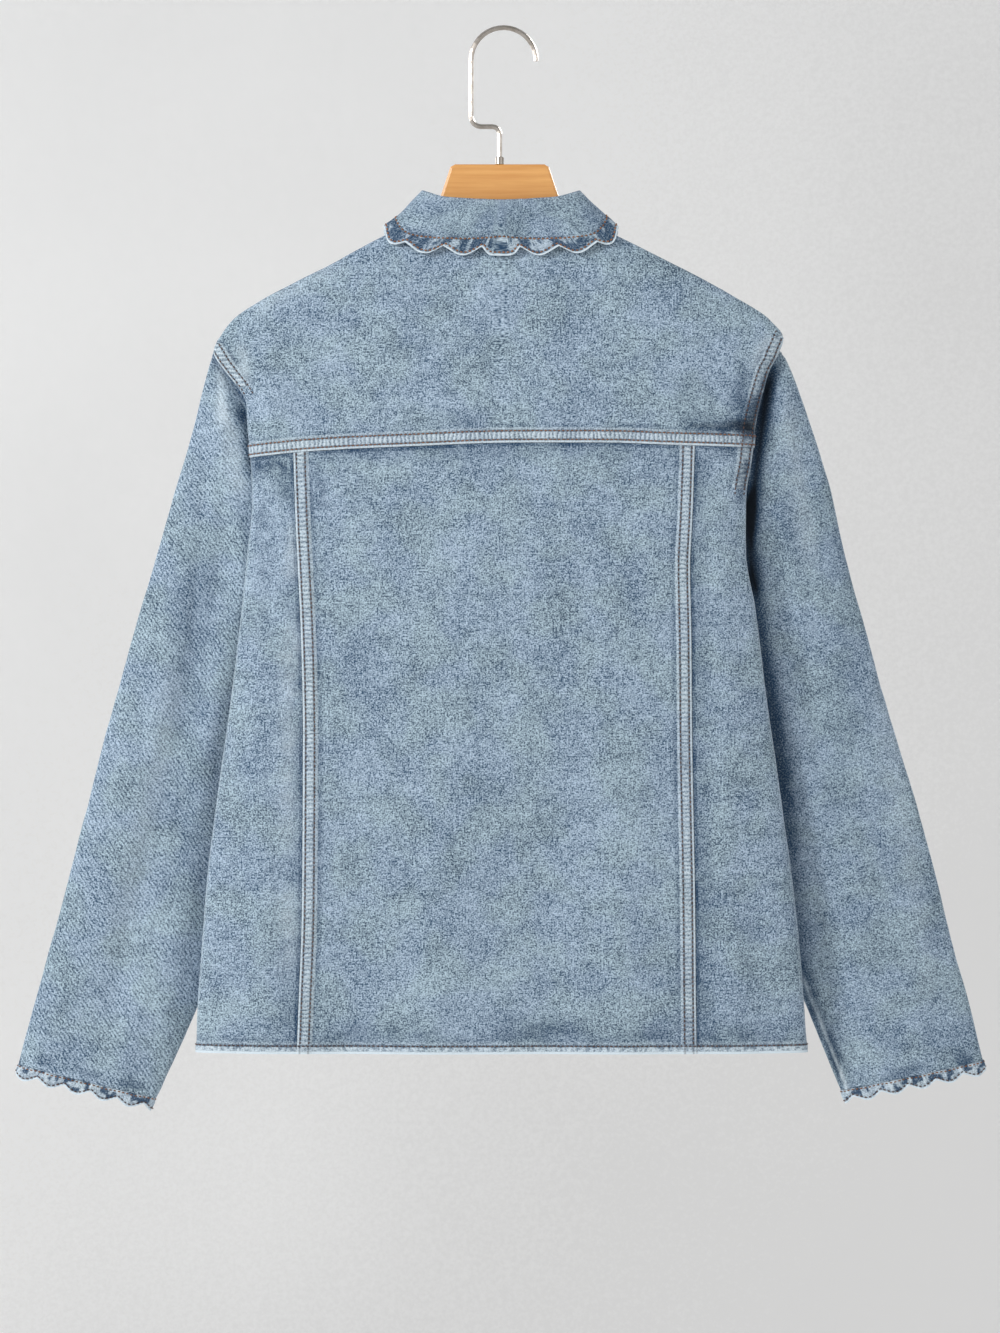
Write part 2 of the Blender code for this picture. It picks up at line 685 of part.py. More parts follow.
def make_sleeve(side):
    ring = armhole_ring(side)
    edge = np.array([on_tube(arc, drop) for arc, drop in ring])
    out = np.array([normal_on_tube(arc, drop) for arc, drop in ring])
    along_edge = np.roll(edge, -1, axis=0) - np.roll(edge, 1, axis=0)
    inward = np.cross(out, along_edge)
    inward /= np.linalg.norm(inward, axis=1)[:, None]
    if np.dot(inward[0], (0, 0, -1)) < 0:
        inward = -inward
    lengths = np.linalg.norm(np.roll(edge, -1, axis=0) - edge, axis=1)
    around = np.concatenate([[0.0], np.cumsum(lengths)[:-1]])
    underarm = around[len(ARMHOLE_ROWS) - 1]
    turns = np.where(
        around <= underarm,
        math.pi * around / underarm,
        math.pi + math.pi * (around - underarm) / (lengths.sum() - underarm),
    )
    rings = []
    for row in SLEEVE_HEAD_ROWS:
        head = dict(zip(SLEEVE_HEAD_COLUMNS, row))
        rings.append(edge + inward * head["inward"] + out * head["outward"])
    for along in SLEEVE_STATIONS:
        joined = float(looked_up(SLEEVE_ROWS, SLEEVE_COLUMNS, "along", "join", along))
        plain = np.array([sleeve_point(side, turn, along) for turn in turns])
        rings.append(rings[len(SLEEVE_HEAD_ROWS) - 1] * (1 - joined) + plain * joined)
    outer = np.array(rings)
    inner = outer - sleeve_normals(outer, out) * WALL
    cloth(f"sleeve_{side}", outer, inner, DENIM_SLEEVE, closed=True)


def sleeve_normals(outer, first):
    """Outward normals of a tube of rings, the first ring's given."""
    round_it = np.roll(outer, -1, axis=1) - np.roll(outer, 1, axis=1)
    down_it = np.gradient(outer, axis=0)
    normals = np.cross(round_it, down_it)
    normals /= np.linalg.norm(normals, axis=2)[:, :, None]
    if (normals[0] * first).sum() < 0:
        normals = -normals
    normals[0] = first
    return normals


def scallop(part):
    """How far a scalloped edge reaches, 0 in a notch and 1 at the bottom of a scallop."""
    return 1 - abs(2 * (part % 1) - 1) ** 2.2


def make_cuff(side):
    """The scalloped band at the end of a sleeve."""
    count = CUFF_SCALLOPS * POINTS_PER_SCALLOP
    fine = np.linspace(0, 2 * math.pi, 721)
    ring = np.array([sleeve_point(side, turn, 1.0) for turn in fine])
    lengths = np.concatenate([[0.0], np.cumsum(np.linalg.norm(np.diff(ring, axis=0), axis=1))])
    wanted = np.linspace(0, lengths[-1], count + 1)[:-1]
    turns = np.interp(wanted, lengths, fine)
    base = np.array([sleeve_point(side, turn, 1.0) for turn in turns])
    before = np.array([sleeve_point(side, turn, 0.985) for turn in turns])
    down = base - before
    down /= np.linalg.norm(down, axis=1)[:, None]
    reach = np.array([
        CUFF_HEIGHT - CUFF_SCALLOP_DEPTH * (1 - scallop(k / POINTS_PER_SCALLOP)) for k in range(count)
    ])
    middle = base + down * (0.5 * reach)[:, None]
    outer = np.array([base + down * SEAM_GAP, middle, base + down * reach[:, None]])
    around = np.roll(base, -1, axis=0) - np.roll(base, 1, axis=0)
    out = np.cross(around, down)
    out /= np.linalg.norm(out, axis=1)[:, None]
    if (out * (base - base.mean(axis=0))).sum() < 0:
        out = -out
    inner = outer - out[None] * WALL
    cloth(f"cuff_{side}", outer, inner, DENIM_SLEEVE, closed=True)


# Collar


def collar_value(name, turn):
    return float(looked_up(COLLAR_ROWS, COLLAR_COLUMNS, "turn", name, abs(turn)))


def collar_point(turn, half_width, depth, drop, square=FOLD_SQUARE):
    angle = turn * math.pi
    return np.array([
        half_width * root(math.sin(angle), square),
        -depth * root(math.cos(angle), square),
        -drop,
    ])


def neck_point(turn):
    """A point of the neckline, just above the panels' edges."""
    side = "left" if turn < 0 else "right"
    if abs(turn) <= 0.5:
        across = NECK_HALF_WIDTH * math.sin(turn * math.pi)
        drop = back_neck(across)
        arc = back_arc(across, drop)
    else:
        across, drop = front_neck(abs(turn) * 2 - 1)
        past = (abs(turn) - LAST_FRONT_TURN) / (COLLAR_END - LAST_FRONT_TURN)
        across -= (BAND_HALF_WIDTH - SEAM_GAP) * eased(past)
        arc = front_arc(side, toward_front(side) * across, drop)
    gap = NECK_GAP + NECK_GAP * eased((abs(turn) - COLLAR_SIDE) * 10)
    point = on_tube(arc, drop) + np.array([0.0, 0.0, gap])
    inward = point * (1.0, 1.0, 0.0)
    return point - NECK_INSET * inward / np.linalg.norm(inward)


def grid_normals(outer):
    round_it = np.gradient(outer, axis=1)
    down_it = np.gradient(outer, axis=0)
    normals = np.cross(round_it, down_it)
    normals /= np.linalg.norm(normals, axis=2)[:, :, None]
    centre = outer.mean(axis=(0, 1))
    if (normals * (outer - centre)).sum() < 0:
        normals = -normals
    return normals


def make_collar_stand():
    front = [0.5 + step / 16 for step in range(1, 8)] + [COLLAR_END]
    turns = [-turn for turn in front[::-1]] + list(np.linspace(-0.5, 0.5, 21)) + front
    rows = []
    for up in (0.0, 0.5, 1.0):
        ring = []
        for turn in turns:
            forward = eased((abs(turn) - COLLAR_SIDE) * 10)
            depth = collar_value("fold_depth", turn) - STAND_INSET - STAND_FRONT_INSET * forward
            drop = collar_value("fold_drop", turn) + STAND_DROP + STAND_FRONT_DROP * forward
            top = collar_point(turn, FOLD_HALF_WIDTH - STAND_INSET, depth, drop)
            ring.append(neck_point(turn) * (1 - up) + top * up)
        rows.append(ring)
    outer = np.array(rows)
    inner = outer - grid_normals(outer) * WALL
    cloth("collar_stand", outer, inner, DENIM)


def fall_profile(turn, reach):
    """The collar's fall from inside its top fold, over it and down to its edge."""
    fold_drop = collar_value("fold_drop", turn)
    edge_drop = collar_value("edge_drop", turn) - reach
    fold_depth = collar_value("fold_depth", turn)
    edge_depth = collar_value("edge_depth", turn)
    points = []
    for row in FALL_ROWS:
        fold = dict(zip(FALL_COLUMNS, row))
        half_width = FOLD_HALF_WIDTH + fold["wider"]
        depth = fold_depth + fold["deeper"]
        points.append(collar_point(turn, half_width, depth, fold_drop + fold["lower"]))
    for part in FALL_PARTS:
        points.append(
            collar_point(
                turn,
                FOLD_HALF_WIDTH + (EDGE_HALF_WIDTH - FOLD_HALF_WIDTH) * part,
                fold_depth + FALL_START + (edge_depth - fold_depth - FALL_START) * part,
                fold_drop + FALL_START + (edge_drop - fold_drop - FALL_START) * part,
                FOLD_SQUARE + (EDGE_SQUARE - FOLD_SQUARE) * part,
            )
        )
    return points


def make_collar_fall():
    fine = np.linspace(-COLLAR_END, COLLAR_END, 721)
    edge = np.array([fall_profile(turn, 0.0)[-1] for turn in fine])
    lengths = np.concatenate([[0.0], np.cumsum(np.linalg.norm(np.diff(edge, axis=0), axis=1))])
    wanted = np.linspace(0, lengths[-1], COLLAR_SCALLOPS * POINTS_PER_SCALLOP + 1)
    turns = np.interp(wanted, lengths, fine)
    rows = [
        fall_profile(turn, COLLAR_SCALLOP_DEPTH * (1 - scallop(k / POINTS_PER_SCALLOP)))
        for k, turn in enumerate(turns)
    ]
    outer = np.array(rows).transpose(1, 0, 2)
    inner = outer - grid_normals(outer) * WALL
    cloth("collar_fall", outer, inner, DENIM)


# Buttons and hanger


def make_buttons():
    for number, drop in enumerate(np.linspace(FIRST_BUTTON, LAST_BUTTON, BUTTONS), 1):
        arc = front_arc("right", 0.0, drop)
        normal = normal_on_tube(arc, drop)
        lift = WALL + 3 * SEAM_GAP + BUTTON_HEIGHT / 2
        bpy.ops.mesh.primitive_cylinder_add(
            vertices=16, radius=BUTTON_RADIUS * MM, depth=BUTTON_HEIGHT * MM, rotation=(math.pi / 2, 0, 0)
        )
        button = bpy.context.object
        button.name = f"button_{number}"
        button.location = (on_tube(arc, drop) + normal * lift) * MM
        bevel = button.modifiers.new("Bevel", "BEVEL")
        bevel.width = BUTTON_BEVEL * MM
        bevel.segments = 1
        button.data.materials.append(material(button.name, NICKEL, 0.35, 1.0))
        for owner in button.users_collection:
            owner.objects.unlink(button)
        bpy.data.collections[COLLECTION].objects.link(button)


def corner(centre, radius, start, end, count):
    """Points of a bend in the plane of the hanger, between two angles in degrees."""
    angles = np.radians(np.linspace(start, end, count))
    return [(centre[0] + radius * math.cos(a), centre[1] + radius * math.sin(a)) for a in angles]


def make_hanger_hook():
    """The bent wire, from its tip round the hook, down, across and into the ferrule."""
    left = HOOK_CENTRE[0] - HOOK_RADIUS
    route = corner(HOOK_CENTRE, HOOK_RADIUS, -2, 180, 19)
    route += corner((left + JOG_BEND, JOG_HEIGHT + JOG_BEND), JOG_BEND, 180, 270, 5)
    route += corner((STEM_X - STEM_BEND, JOG_HEIGHT - STEM_BEND), STEM_BEND, 90, 0, 5)
    route += [(STEM_X, WOOD_TOP + SEAM_GAP)]
    data = bpy.data.curves.new("hanger_hook", "CURVE")
    data.dimensions = "3D"
    data.bevel_depth = WIRE_RADIUS * MM
    data.bevel_resolution = 2
    data.use_fill_caps = True
    wire = data.splines.new("POLY")
    wire.points.add(len(route) - 1)
    for point, (x, z) in zip(wire.points, route):
        point.co = (x * MM, 0.0, z * MM, 1.0)
    add_object("hanger_hook", data, NICKEL, 0.3, 1.0)


def make_hanger_ferrule():
    """The small turned collar that the wire turns in."""
    hole = WIRE_RADIUS + SEAM_GAP
    low = WOOD_TOP + SEAM_GAP
    profile = (
        (hole, FERRULE_TOP),
        (FERRULE_RADIUS - FERRULE_EDGE, FERRULE_TOP),
        (FERRULE_RADIUS, FERRULE_TOP - FERRULE_EDGE),
        (FERRULE_RADIUS, low),
        (hole, low),
    )
    data = bpy.data.meshes.new("hanger_ferrule")
    points = [(x * MM, 0.0, z * MM) for x, z in profile]
    data.from_pydata(points, [(i, (i + 1) % len(points)) for i in range(len(points))], [])
    ferrule = add_object("hanger_ferrule", data, NICKEL, 0.3, 1.0)
    ferrule.location = (STEM_X * MM, 0.0, 0.0)
    screw = ferrule.modifiers.new("Screw", "SCREW")
    screw.steps = screw.render_steps = 24
    screw.use_merge_vertices = True
    screw.merge_threshold = 1e-6


WOOD_ARM = (
    # x, z of the top edge from the neck outwards, then back along the bottom
    (33.0, -102.4),
    (36.5, -104.5),
    (43.0, -124.0),
    (50.0, -143.0),
    (64.0, -151.5),
    (92.0, -163.5),
    (123.0, -181.0),
    (178.0, -210.5),
    (194.0, -223.5),
    (199.0, -235.0),
    (194.0, -245.0),
    (180.0, -243.0),
    (120.0, -215.0),
    (60.0, -192.0),
    (0.0, -184.0),
)


def make_hanger_wood():
    """The flat wooden shoulders, cut from one board with its edges eased."""
    data = bpy.data.curves.new("wood_outline", "CURVE")
    data.dimensions = "2D"
    data.fill_mode = "BOTH"
    data.extrude = WOOD_THICKNESS / 2 * MM
    right = list(WOOD_ARM)
    left = [(-x - 2.0 if x > 0 else x, z) for x, z in reversed(right[:-1])]
    outline = right + left
    spline = data.splines.new("POLY")
    spline.points.add(len(outline) - 1)
    for point, (x, z) in zip(spline.points, outline):
        point.co = (x * MM, z * MM, 0.0, 1.0)
    spline.use_cyclic_u = True
    board = add_object("hanger_wood", data, WOOD, 0.4)
    board.rotation_euler = (math.pi / 2, 0, 0)
    weld = board.modifiers.new("Weld", "WELD")
    weld.merge_threshold = 1e-5
    bevel = board.modifiers.new("Bevel", "BEVEL")
    bevel.width = WOOD_BEVEL * MM
    bevel.segments = 2
    bevel.limit_method = "ANGLE"
    bevel.angle_limit = math.radians(60)


def main():
    for old in list(bpy.data.objects):
        bpy.data.objects.remove(old, do_unlink=True)
    bpy.context.scene.collection.children.link(bpy.data.collections.new(COLLECTION))
    make_back_yoke()
    make_back_center()
    for side in ("left", "right"):
        make_back_side(side)
        make_front(side)
        make_sleeve(side)
        make_cuff(side)
    make_front_band("front_band_left", 0.0)
    make_front_band("front_band_right", WALL + SEAM_GAP)
    make_collar_stand()
    make_collar_fall()
    make_buttons()
    make_hanger_hook()
    make_hanger_ferrule()
    make_hanger_wood()


main()
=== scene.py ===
"""The looks of the denim jacket on its wooden hanger: fine cloth, seams, stitches, scallops and finishes.

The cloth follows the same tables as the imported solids. Lengths are in millimetres, unless a line says metres.
A "drop" is measured downwards from the hook, an "arc" round the body from the centre back. "Left" and "right"
are the sides seen from behind.
"""

import json
import math
from functools import partial

import bmesh
import bpy
import numpy as np
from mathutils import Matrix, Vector

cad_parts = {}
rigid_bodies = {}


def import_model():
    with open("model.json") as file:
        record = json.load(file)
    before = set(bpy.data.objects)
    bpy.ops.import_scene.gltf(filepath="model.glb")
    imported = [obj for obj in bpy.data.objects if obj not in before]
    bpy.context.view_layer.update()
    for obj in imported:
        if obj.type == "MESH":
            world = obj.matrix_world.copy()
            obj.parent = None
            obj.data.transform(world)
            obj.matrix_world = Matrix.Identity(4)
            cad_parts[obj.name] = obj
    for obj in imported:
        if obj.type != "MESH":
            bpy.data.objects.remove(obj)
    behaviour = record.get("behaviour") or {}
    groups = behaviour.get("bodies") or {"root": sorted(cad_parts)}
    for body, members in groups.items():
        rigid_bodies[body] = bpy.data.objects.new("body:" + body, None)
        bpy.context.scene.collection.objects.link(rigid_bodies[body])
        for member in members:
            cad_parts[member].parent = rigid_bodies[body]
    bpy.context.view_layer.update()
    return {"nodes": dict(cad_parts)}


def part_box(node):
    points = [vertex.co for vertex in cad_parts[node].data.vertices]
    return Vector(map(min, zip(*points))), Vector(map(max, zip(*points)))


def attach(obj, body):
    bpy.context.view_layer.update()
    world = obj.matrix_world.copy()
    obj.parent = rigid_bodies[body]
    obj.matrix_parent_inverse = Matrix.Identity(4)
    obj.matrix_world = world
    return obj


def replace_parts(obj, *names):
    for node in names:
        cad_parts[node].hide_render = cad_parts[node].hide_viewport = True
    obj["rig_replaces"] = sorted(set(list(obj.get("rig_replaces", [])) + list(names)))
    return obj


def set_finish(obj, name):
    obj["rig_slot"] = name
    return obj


MM = 0.001
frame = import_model()


# Tables and curves


def table(names, *rows):
    """The columns of a table by name. The others are looked up by the first one."""
    return dict(zip(names.split(), np.array(rows, float).T))


def each_row(columns):
    return [dict(zip(columns, values)) for values in zip(*columns.values())]


def smooth(at, places, values):
    """A curve without overshoot through the values of a table."""
    steps = np.diff(places)
    slopes = np.diff(values) / steps
    same_way = slopes[:-1] * slopes[1:] > 0
    total = np.where(same_way, slopes[:-1] + slopes[1:], 1.0)
    middle = np.where(same_way, 2 * slopes[:-1] * slopes[1:] / total, 0.0)
    tangents = np.concatenate([[slopes[0]], middle, [slopes[-1]]])
    at = np.clip(at, places[0], places[-1])
    span = np.clip(np.searchsorted(places, at, side="right") - 1, 0, len(steps) - 1)
    part = (at - places[span]) / steps[span]
    rise = part * part * (3 - 2 * part)
    start = part * (1 - part) ** 2 * steps[span]
    end = part * part * (part - 1) * steps[span]
    return (
        values[span] * (1 - rise)
        + values[span + 1] * rise
        + tangents[span] * start
        + tangents[span + 1] * end
    )


def looked_up(columns, wanted, at):
    """The wanted columns of a table, or the only wanted one, where its first column is `at`."""
    places = next(iter(columns.values()))
    found = [smooth(at, places, columns[name]) for name in wanted.split()]
    return found if len(found) > 1 else found[0]


def bump(distance, width):
    return np.exp(-((distance / width) ** 2))


def eased(part):
    part = np.clip(part, 0.0, 1.0)
    return part * part * (3 - 2 * part)


def root(value, square):
    return np.sign(value) * np.abs(value) ** (2 / square)


HILLS = 257


def wander(x, y, scale_x, scale_y, seed):
    """Smooth random hills between -1 and 1, that repeat only after 257 of their own sizes."""
    lattice = np.random.default_rng(seed).uniform(-1, 1, (HILLS, HILLS))
    across = x / scale_x
    up = y / scale_y
    column_at = np.floor(across).astype(int)
    row_at = np.floor(up).astype(int)
    part_x = eased(across - column_at)
    part_y = eased(up - row_at)

    def corner(i, j):
        return lattice[(row_at + i) % HILLS, (column_at + j) % HILLS]

    low = corner(0, 0) * (1 - part_x) + corner(0, 1) * part_x
    high = corner(1, 0) * (1 - part_x) + corner(1, 1) * part_x
    return low * (1 - part_y) + high * part_y


def unit(vectors):
    return vectors / np.maximum(np.linalg.norm(vectors, axis=-1, keepdims=True), 1e-9)


def lengths_along(points, axis=0):
    """How far each point lies along its line of points."""
    steps = np.linalg.norm(np.diff(points, axis=axis), axis=-1)
    return np.concatenate([np.zeros_like(steps.take([0], axis)), np.cumsum(steps, axis=axis)], axis=axis)


def interpolated(at, along, path):
    """Points of a path at other lengths than its own."""
    return np.stack([np.interp(at, along, path[:, axis]) for axis in range(3)], axis=-1)


def closed_up(path):
    return np.concatenate([path, path[:1]])


# Sizes and tables of the cloth

WALL = 1.5
SEAM_GAP = 0.3
HALF_GAP = SEAM_GAP / 2
ARMHOLE_GAP = 0.7
SEAM_WIDTH = 10.0
SEAM_RISE = 0.9
HEM_DEPTH = 7.0
HEM_RISE = 0.8

ARMHOLE_TOP = 241.0
UNDERARM = 452.0
HEM_DROP = 776.5
FRONT_NECK = 225.0
BACK_NECK = 158.0
SIDE_NECK = 146.0
NECK_HALF_WIDTH = 66.0
NECK_GAP = 1.2
NECK_INSET = 0.9
SHOULDER_SEAM = 4.0
SIDE_SEAM = 48.0
BAND_HALF_WIDTH = 15.0
YOKE_LEVEL = 320.0

BODY = table(
    "drop left right back front square",
    (140, -54, 54, 13, 13, 4),
    (146, -66, 66, 13, 13, 4),
    (159.6, -94.5, 94, 13.5, 13.5, 4),
    (176.3, -125.4, 127, 14, 14, 4),
    (205.2, -180.9, 180.9, 14, 14, 4),
    (220.4, -203.7, 203.7, 14, 14, 4),
    (235.6, -214.3, 214, 14, 14, 3.8),
    (245.5, -217.5, 210.5, 14.5, 14.5, 3.6),
    (258.4, -210, 204, 15, 15, 3.4),
    (272.8, -199, 199.5, 15.5, 15, 3.2),
    (285, -193.5, 196.2, 16, 15.5, 3.1),
    (304, -192.6, 192.3, 17, 16, 3),
    (325.3, -190.2, 190.2, 18, 16, 3),
    (354.2, -189.2, 185.8, 19, 16, 2.8),
    (396.7, -193, 186, 20, 16, 2.6),
    (438.5, -197.1, 192.8, 20, 16, 2.6),
    (507.7, -205.2, 202, 20, 16, 2.6),
    (585.2, -215.8, 212.8, 20, 16, 2.6),
    (661.2, -225, 223.4, 19, 15, 2.6),
    (749.4, -231.4, 230.6, 18, 15, 2.6),
    (790, -232.3, 233, 18, 15, 2.6),
)
# The body's long folds: where they run, how wide they are and how far they stand out
FOLDS = {
    "back": table(
        "across top bottom width out",
        (-178, 520, 800, 15, 2.4),
        (-112, 560, 800, 20, -1.8),
        (-52, 600, 800, 26, 1.8),
        (28, 560, 800, 24, -1.6),
        (96, 520, 800, 22, 1.8),
        (176, 470, 800, 14, 2),
        (150, 250, 316, 16, -1.8),
        (-120, 215, 300, 20, -1.2),
    ),
    "front": table(
        "across top bottom width out",
        (-120, 470, 800, 24, 2.2),
        (-62, 540, 800, 20, -1.8),
        (66, 520, 800, 22, -1.8),
        (124, 480, 800, 24, 2.2),
    ),
}
PRINCESS = table(
    "drop left right",
    (310, -157.6, 146.8),
    (366, -155.8, 144.9),
    (409, -153.7, 142.9),
    (463, -151.2, 143.9),
    (540, -149.8, 144.5),
    (661, -150.5, 146.7),
    (748, -153.5, 147.5),
    (790, -155, 148),
)
YOKE = table(
    "across drop",
    (-190, 325.2),
    (-144, 321),
    (-67, 317.3),
    (14, 314.6),
    (77, 314.6),
    (130, 316.2),
    (190, 317.7),
)
ARMHOLE = table(
    "drop back front",
    (241, 4, 4),
    (248, 1.2, 13),
    (258, 0.6, 22),
    (272, 1, 32),
    (290, 2.5, 42),
    (308, 4, 49),
    (325, 5, 55),
    (345, 5.5, 61),
    (370, 6, 67),
    (395, 8, 71),
    (417, 13, 72.5),
    (434, 21, 70.5),
    (445, 31, 64),
    (452, 48, 48),
)
SLEEVE_OUTER = table(
    "drop left right",
    (241, -217.5, 215.5),
    (250.8, -219.6, 219.6),
    (281.2, -229.5, 230.3),
    (311.6, -237.9, 240.9),
    (342, -247, 250.8),
    (402.8, -264.5, 265.2),
    (463.6, -283.5, 282),
    (524.4, -300.2, 298.7),
    (585.2, -316.2, 316.9),
    (646, -332.1, 333.6),
    (706.8, -348.1, 348.8),
    (737.2, -356.4, 358),
    (788, -370, 370.5),
)
SLEEVE_INNER = table(
    "drop left right",
    (452, -150, 146),
    (509, -152, 150),
    (585, -172, 171),
    (661, -200, 200),
    (748.6, -234, 236),
    (814, -263.7, 262.2),
)
CUFF_DROPS = {"left": (788.0, 814.0), "right": (784.8, 808.0)}
SLEEVE = table(
    "along outer_middle inner_middle depth join",
    (0.00, 2, 15, 8, 0),
    (0.03, 3, 19, 8.5, 0.35),
    (0.06, 6, 22, 9, 0.65),
    (0.10, 12, 26, 10, 0.88),
    (0.15, 18, 29, 11.5, 1),
    (0.25, 24, 33, 13, 1),
    (0.50, 27, 33, 13, 1),
    (0.75, 26, 30, 12, 1),
    (1.00, 24, 25, 10, 1),
)
SLEEVE_SQUARE = 2.5
# The sleeves' folds, in parts of the sleeve's width and length
SLEEVE_FOLDS = {
    "left": table(
        "across slide start end width out",
        (0.52, 0.10, 0.05, 0.55, 0.09, 3),
        (0.34, 0.16, 0.12, 0.95, 0.10, -3.2),
        (0.70, 0, 0.45, 1.05, 0.10, 1.8),
    ),
    "right": table(
        "across slide start end width out",
        (0.40, -0.10, 0.10, 0.50, 0.10, -3),
        (0.62, -0.20, 0.15, 0.80, 0.10, 2.4),
        (0.30, 0.10, 0.50, 1.05, 0.10, 2),
    ),
}
COLLAR = table(
    "turn fold_drop edge_drop fold_depth edge_depth",
    (0, 131, 173.5, 16, 19),
    (0.2, 128.5, 169.5, 16, 19),
    (0.35, 124.5, 162.5, 16, 19.5),
    (0.44, 123, 155, 16, 20),
    (0.5, 122.5, 152, 16, 21),
    (0.6, 132, 166, 17, 23),
    (0.75, 166, 214, 19, 23.5),
    (0.9, 198, 244, 20, 23),
    (1, 207, 250, 20.5, 23),
)
FOLD_HALF_WIDTH = 61.0
EDGE_HALF_WIDTH = 89.0
COLLAR_END = 0.985
FOLD_SQUARE = 3.0
EDGE_SQUARE = 5.5
COLLAR_SCALLOPS = 17
COLLAR_SCALLOP_DEPTH = 6.5
CUFF_SCALLOPS = 11
CUFF_SCALLOP_DEPTH = 4.6
CUFF_HEIGHT = 11.4
CUFF_EDGE_SEWN = 2.2

# How fine the cloth is, and the distances from a seam's edge where it has a row of points
STEP = 3.0
CLOSE = (0.0, 0.5, 1.0, 1.6, 2.2, 2.8, 3.6, 4.8, 6.0, 7.0, 8.2, 8.9, 9.6, 10.4, 11.2, 12.4, 13.8, 15.4)


# The body tube

LEVEL_STEP = 2.0
LEVELS = np.arange(138.0, 794.0, LEVEL_STEP)
TURNS = np.linspace(-math.pi, math.pi, 1441)
ARC_STEP = 0.5
ARCS = np.arange(-540.0, 540.1, ARC_STEP)
FOLD_STARTS_OVER = 60
FOLD_ENDS_OVER = 30


def tube_point(turn, drop):
    """Points of the body tube. The turn is 0 at the centre back and half pi at the right edge."""
    left, right, back, front, square = looked_up(BODY, "left right back front square", drop)
    across = (left + right) / 2 + (right - left) / 2 * root(np.sin(turn), square)
    forward = np.cos(turn) < 0
    out = 0.0
    for face, here in (("back", ~forward), ("front", forward)):
        for fold in each_row(FOLDS[face]):
            starts = eased((drop - fold["top"]) / FOLD_STARTS_OVER)
            ends = eased((fold["bottom"] - drop) / FOLD_ENDS_OVER)
            out = out + here * fold["out"] * (starts * ends) * bump(across - fold["across"], fold["width"])
    depth = np.where(forward, front, back) * root(np.cos(turn), square)
    near_edge = np.abs(np.cos(turn)) ** 0.5
    y = -depth - np.sign(np.cos(turn)) * out * near_edge
    return np.stack([across, y, -drop + 0 * across], axis=-1)


def measured_round():
    """The arc of each turn, and the turn of each arc, at each level."""
    points = tube_point(TURNS[None, :] + 0 * LEVELS[:, None], LEVELS[:, None] + 0 * TURNS[None, :])
    arcs = lengths_along(points, 1)
    arcs -= arcs[:, [len(TURNS) // 2]]
    turns = np.array([np.interp(ARCS, level_arcs, TURNS) for level_arcs in arcs])
    return arcs, turns


ARC_OF_TURN, TURN_OF_ARC = measured_round()


def between(grid, row, place):
    """Values of an evenly spaced grid at places between its own."""
    row = np.clip(row, 0, grid.shape[0] - 1.001)
    place = np.clip(place, 0, grid.shape[1] - 1.001)
    i = np.floor(row).astype(int)
    j = np.floor(place).astype(int)
    a = row - i
    b = place - j
    low = grid[i, j] * (1 - b) + grid[i, j + 1] * b
    high = grid[i + 1, j] * (1 - b) + grid[i + 1, j + 1] * b
    return low * (1 - a) + high * a


def arc_at(turn, drop):
    return between(ARC_OF_TURN, (drop - LEVELS[0]) / LEVEL_STEP, (turn + math.pi) / (TURNS[1] - TURNS[0]))


def on_tube(arc, drop):
    turn = between(TURN_OF_ARC, (drop - LEVELS[0]) / LEVEL_STEP, (arc - ARCS[0]) / ARC_STEP)
    return tube_point(turn, drop)


def sign_of(side):
    return -1 if side == "left" else 1


def edge_arc(side, drop):
    return arc_at(sign_of(side) * math.pi / 2 + 0 * drop, drop)


def turn_of_x(across, drop):
    left, right, square = looked_up(BODY, "left right square", drop)
    part = np.clip((across - (left + right) / 2) / ((right - left) / 2), -1, 1)
    return np.arcsin(np.sign(part) * np.abs(part) ** (square / 2))


def back_arc(across, drop):
    return arc_at(turn_of_x(across, drop), drop)


def front_arc(across, drop):
    side = np.where(across < 0, -1, 1)
    return arc_at(side * math.pi - turn_of_x(across, drop), drop)


def yoke_seam(arc):
    across = on_tube(arc, YOKE_LEVEL + 0 * arc)[..., 0]
    return looked_up(YOKE, "drop", across)


def side_edge(side, face, drop):
    """The outer edge of a back or a front: side seam, then armhole, then shoulder seam."""
    hole = looked_up(ARMHOLE, face, drop)
    beyond = np.where(drop >= UNDERARM, SIDE_SEAM, np.where(drop > ARMHOLE_TOP, hole, SHOULDER_SEAM))
    inward = -HALF_GAP if face == "back" else HALF_GAP
    return edge_arc(side, drop) + sign_of(side) * (beyond + inward)


# Objects


def grid_normals(points, outward, closed=False):
    """Normals of a grid of points, on the side that `outward` points to."""
    if closed:
        around = np.roll(points, -1, axis=1) - np.roll(points, 1, axis=1)
    else:
        around = np.gradient(points, axis=1)
    normals = unit(np.cross(around, np.gradient(points, axis=0)))
    if (normals * outward).sum() < 0:
        normals = -normals
    return normals


def placed(name, data):
    made = bpy.data.objects.new(name, data)
    bpy.context.scene.collection.objects.link(made)
    return made


def added(name, points, faces, ending="", sharp=None):
    """A smooth mesh of points in metres, as an object that rides on the jacket."""
    data = bpy.data.meshes.new(name)
    data.from_pydata(points, [], faces)
    data.update()
    data.shade_smooth()
    if sharp:
        data.set_sharp_from_angle(angle=math.radians(sharp))
    made = placed(name + ending, data)
    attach(made, "root")
    return made


FAR = 99.0
DISTANCES = ("lap_side", "lap_level", "hem", "beside")


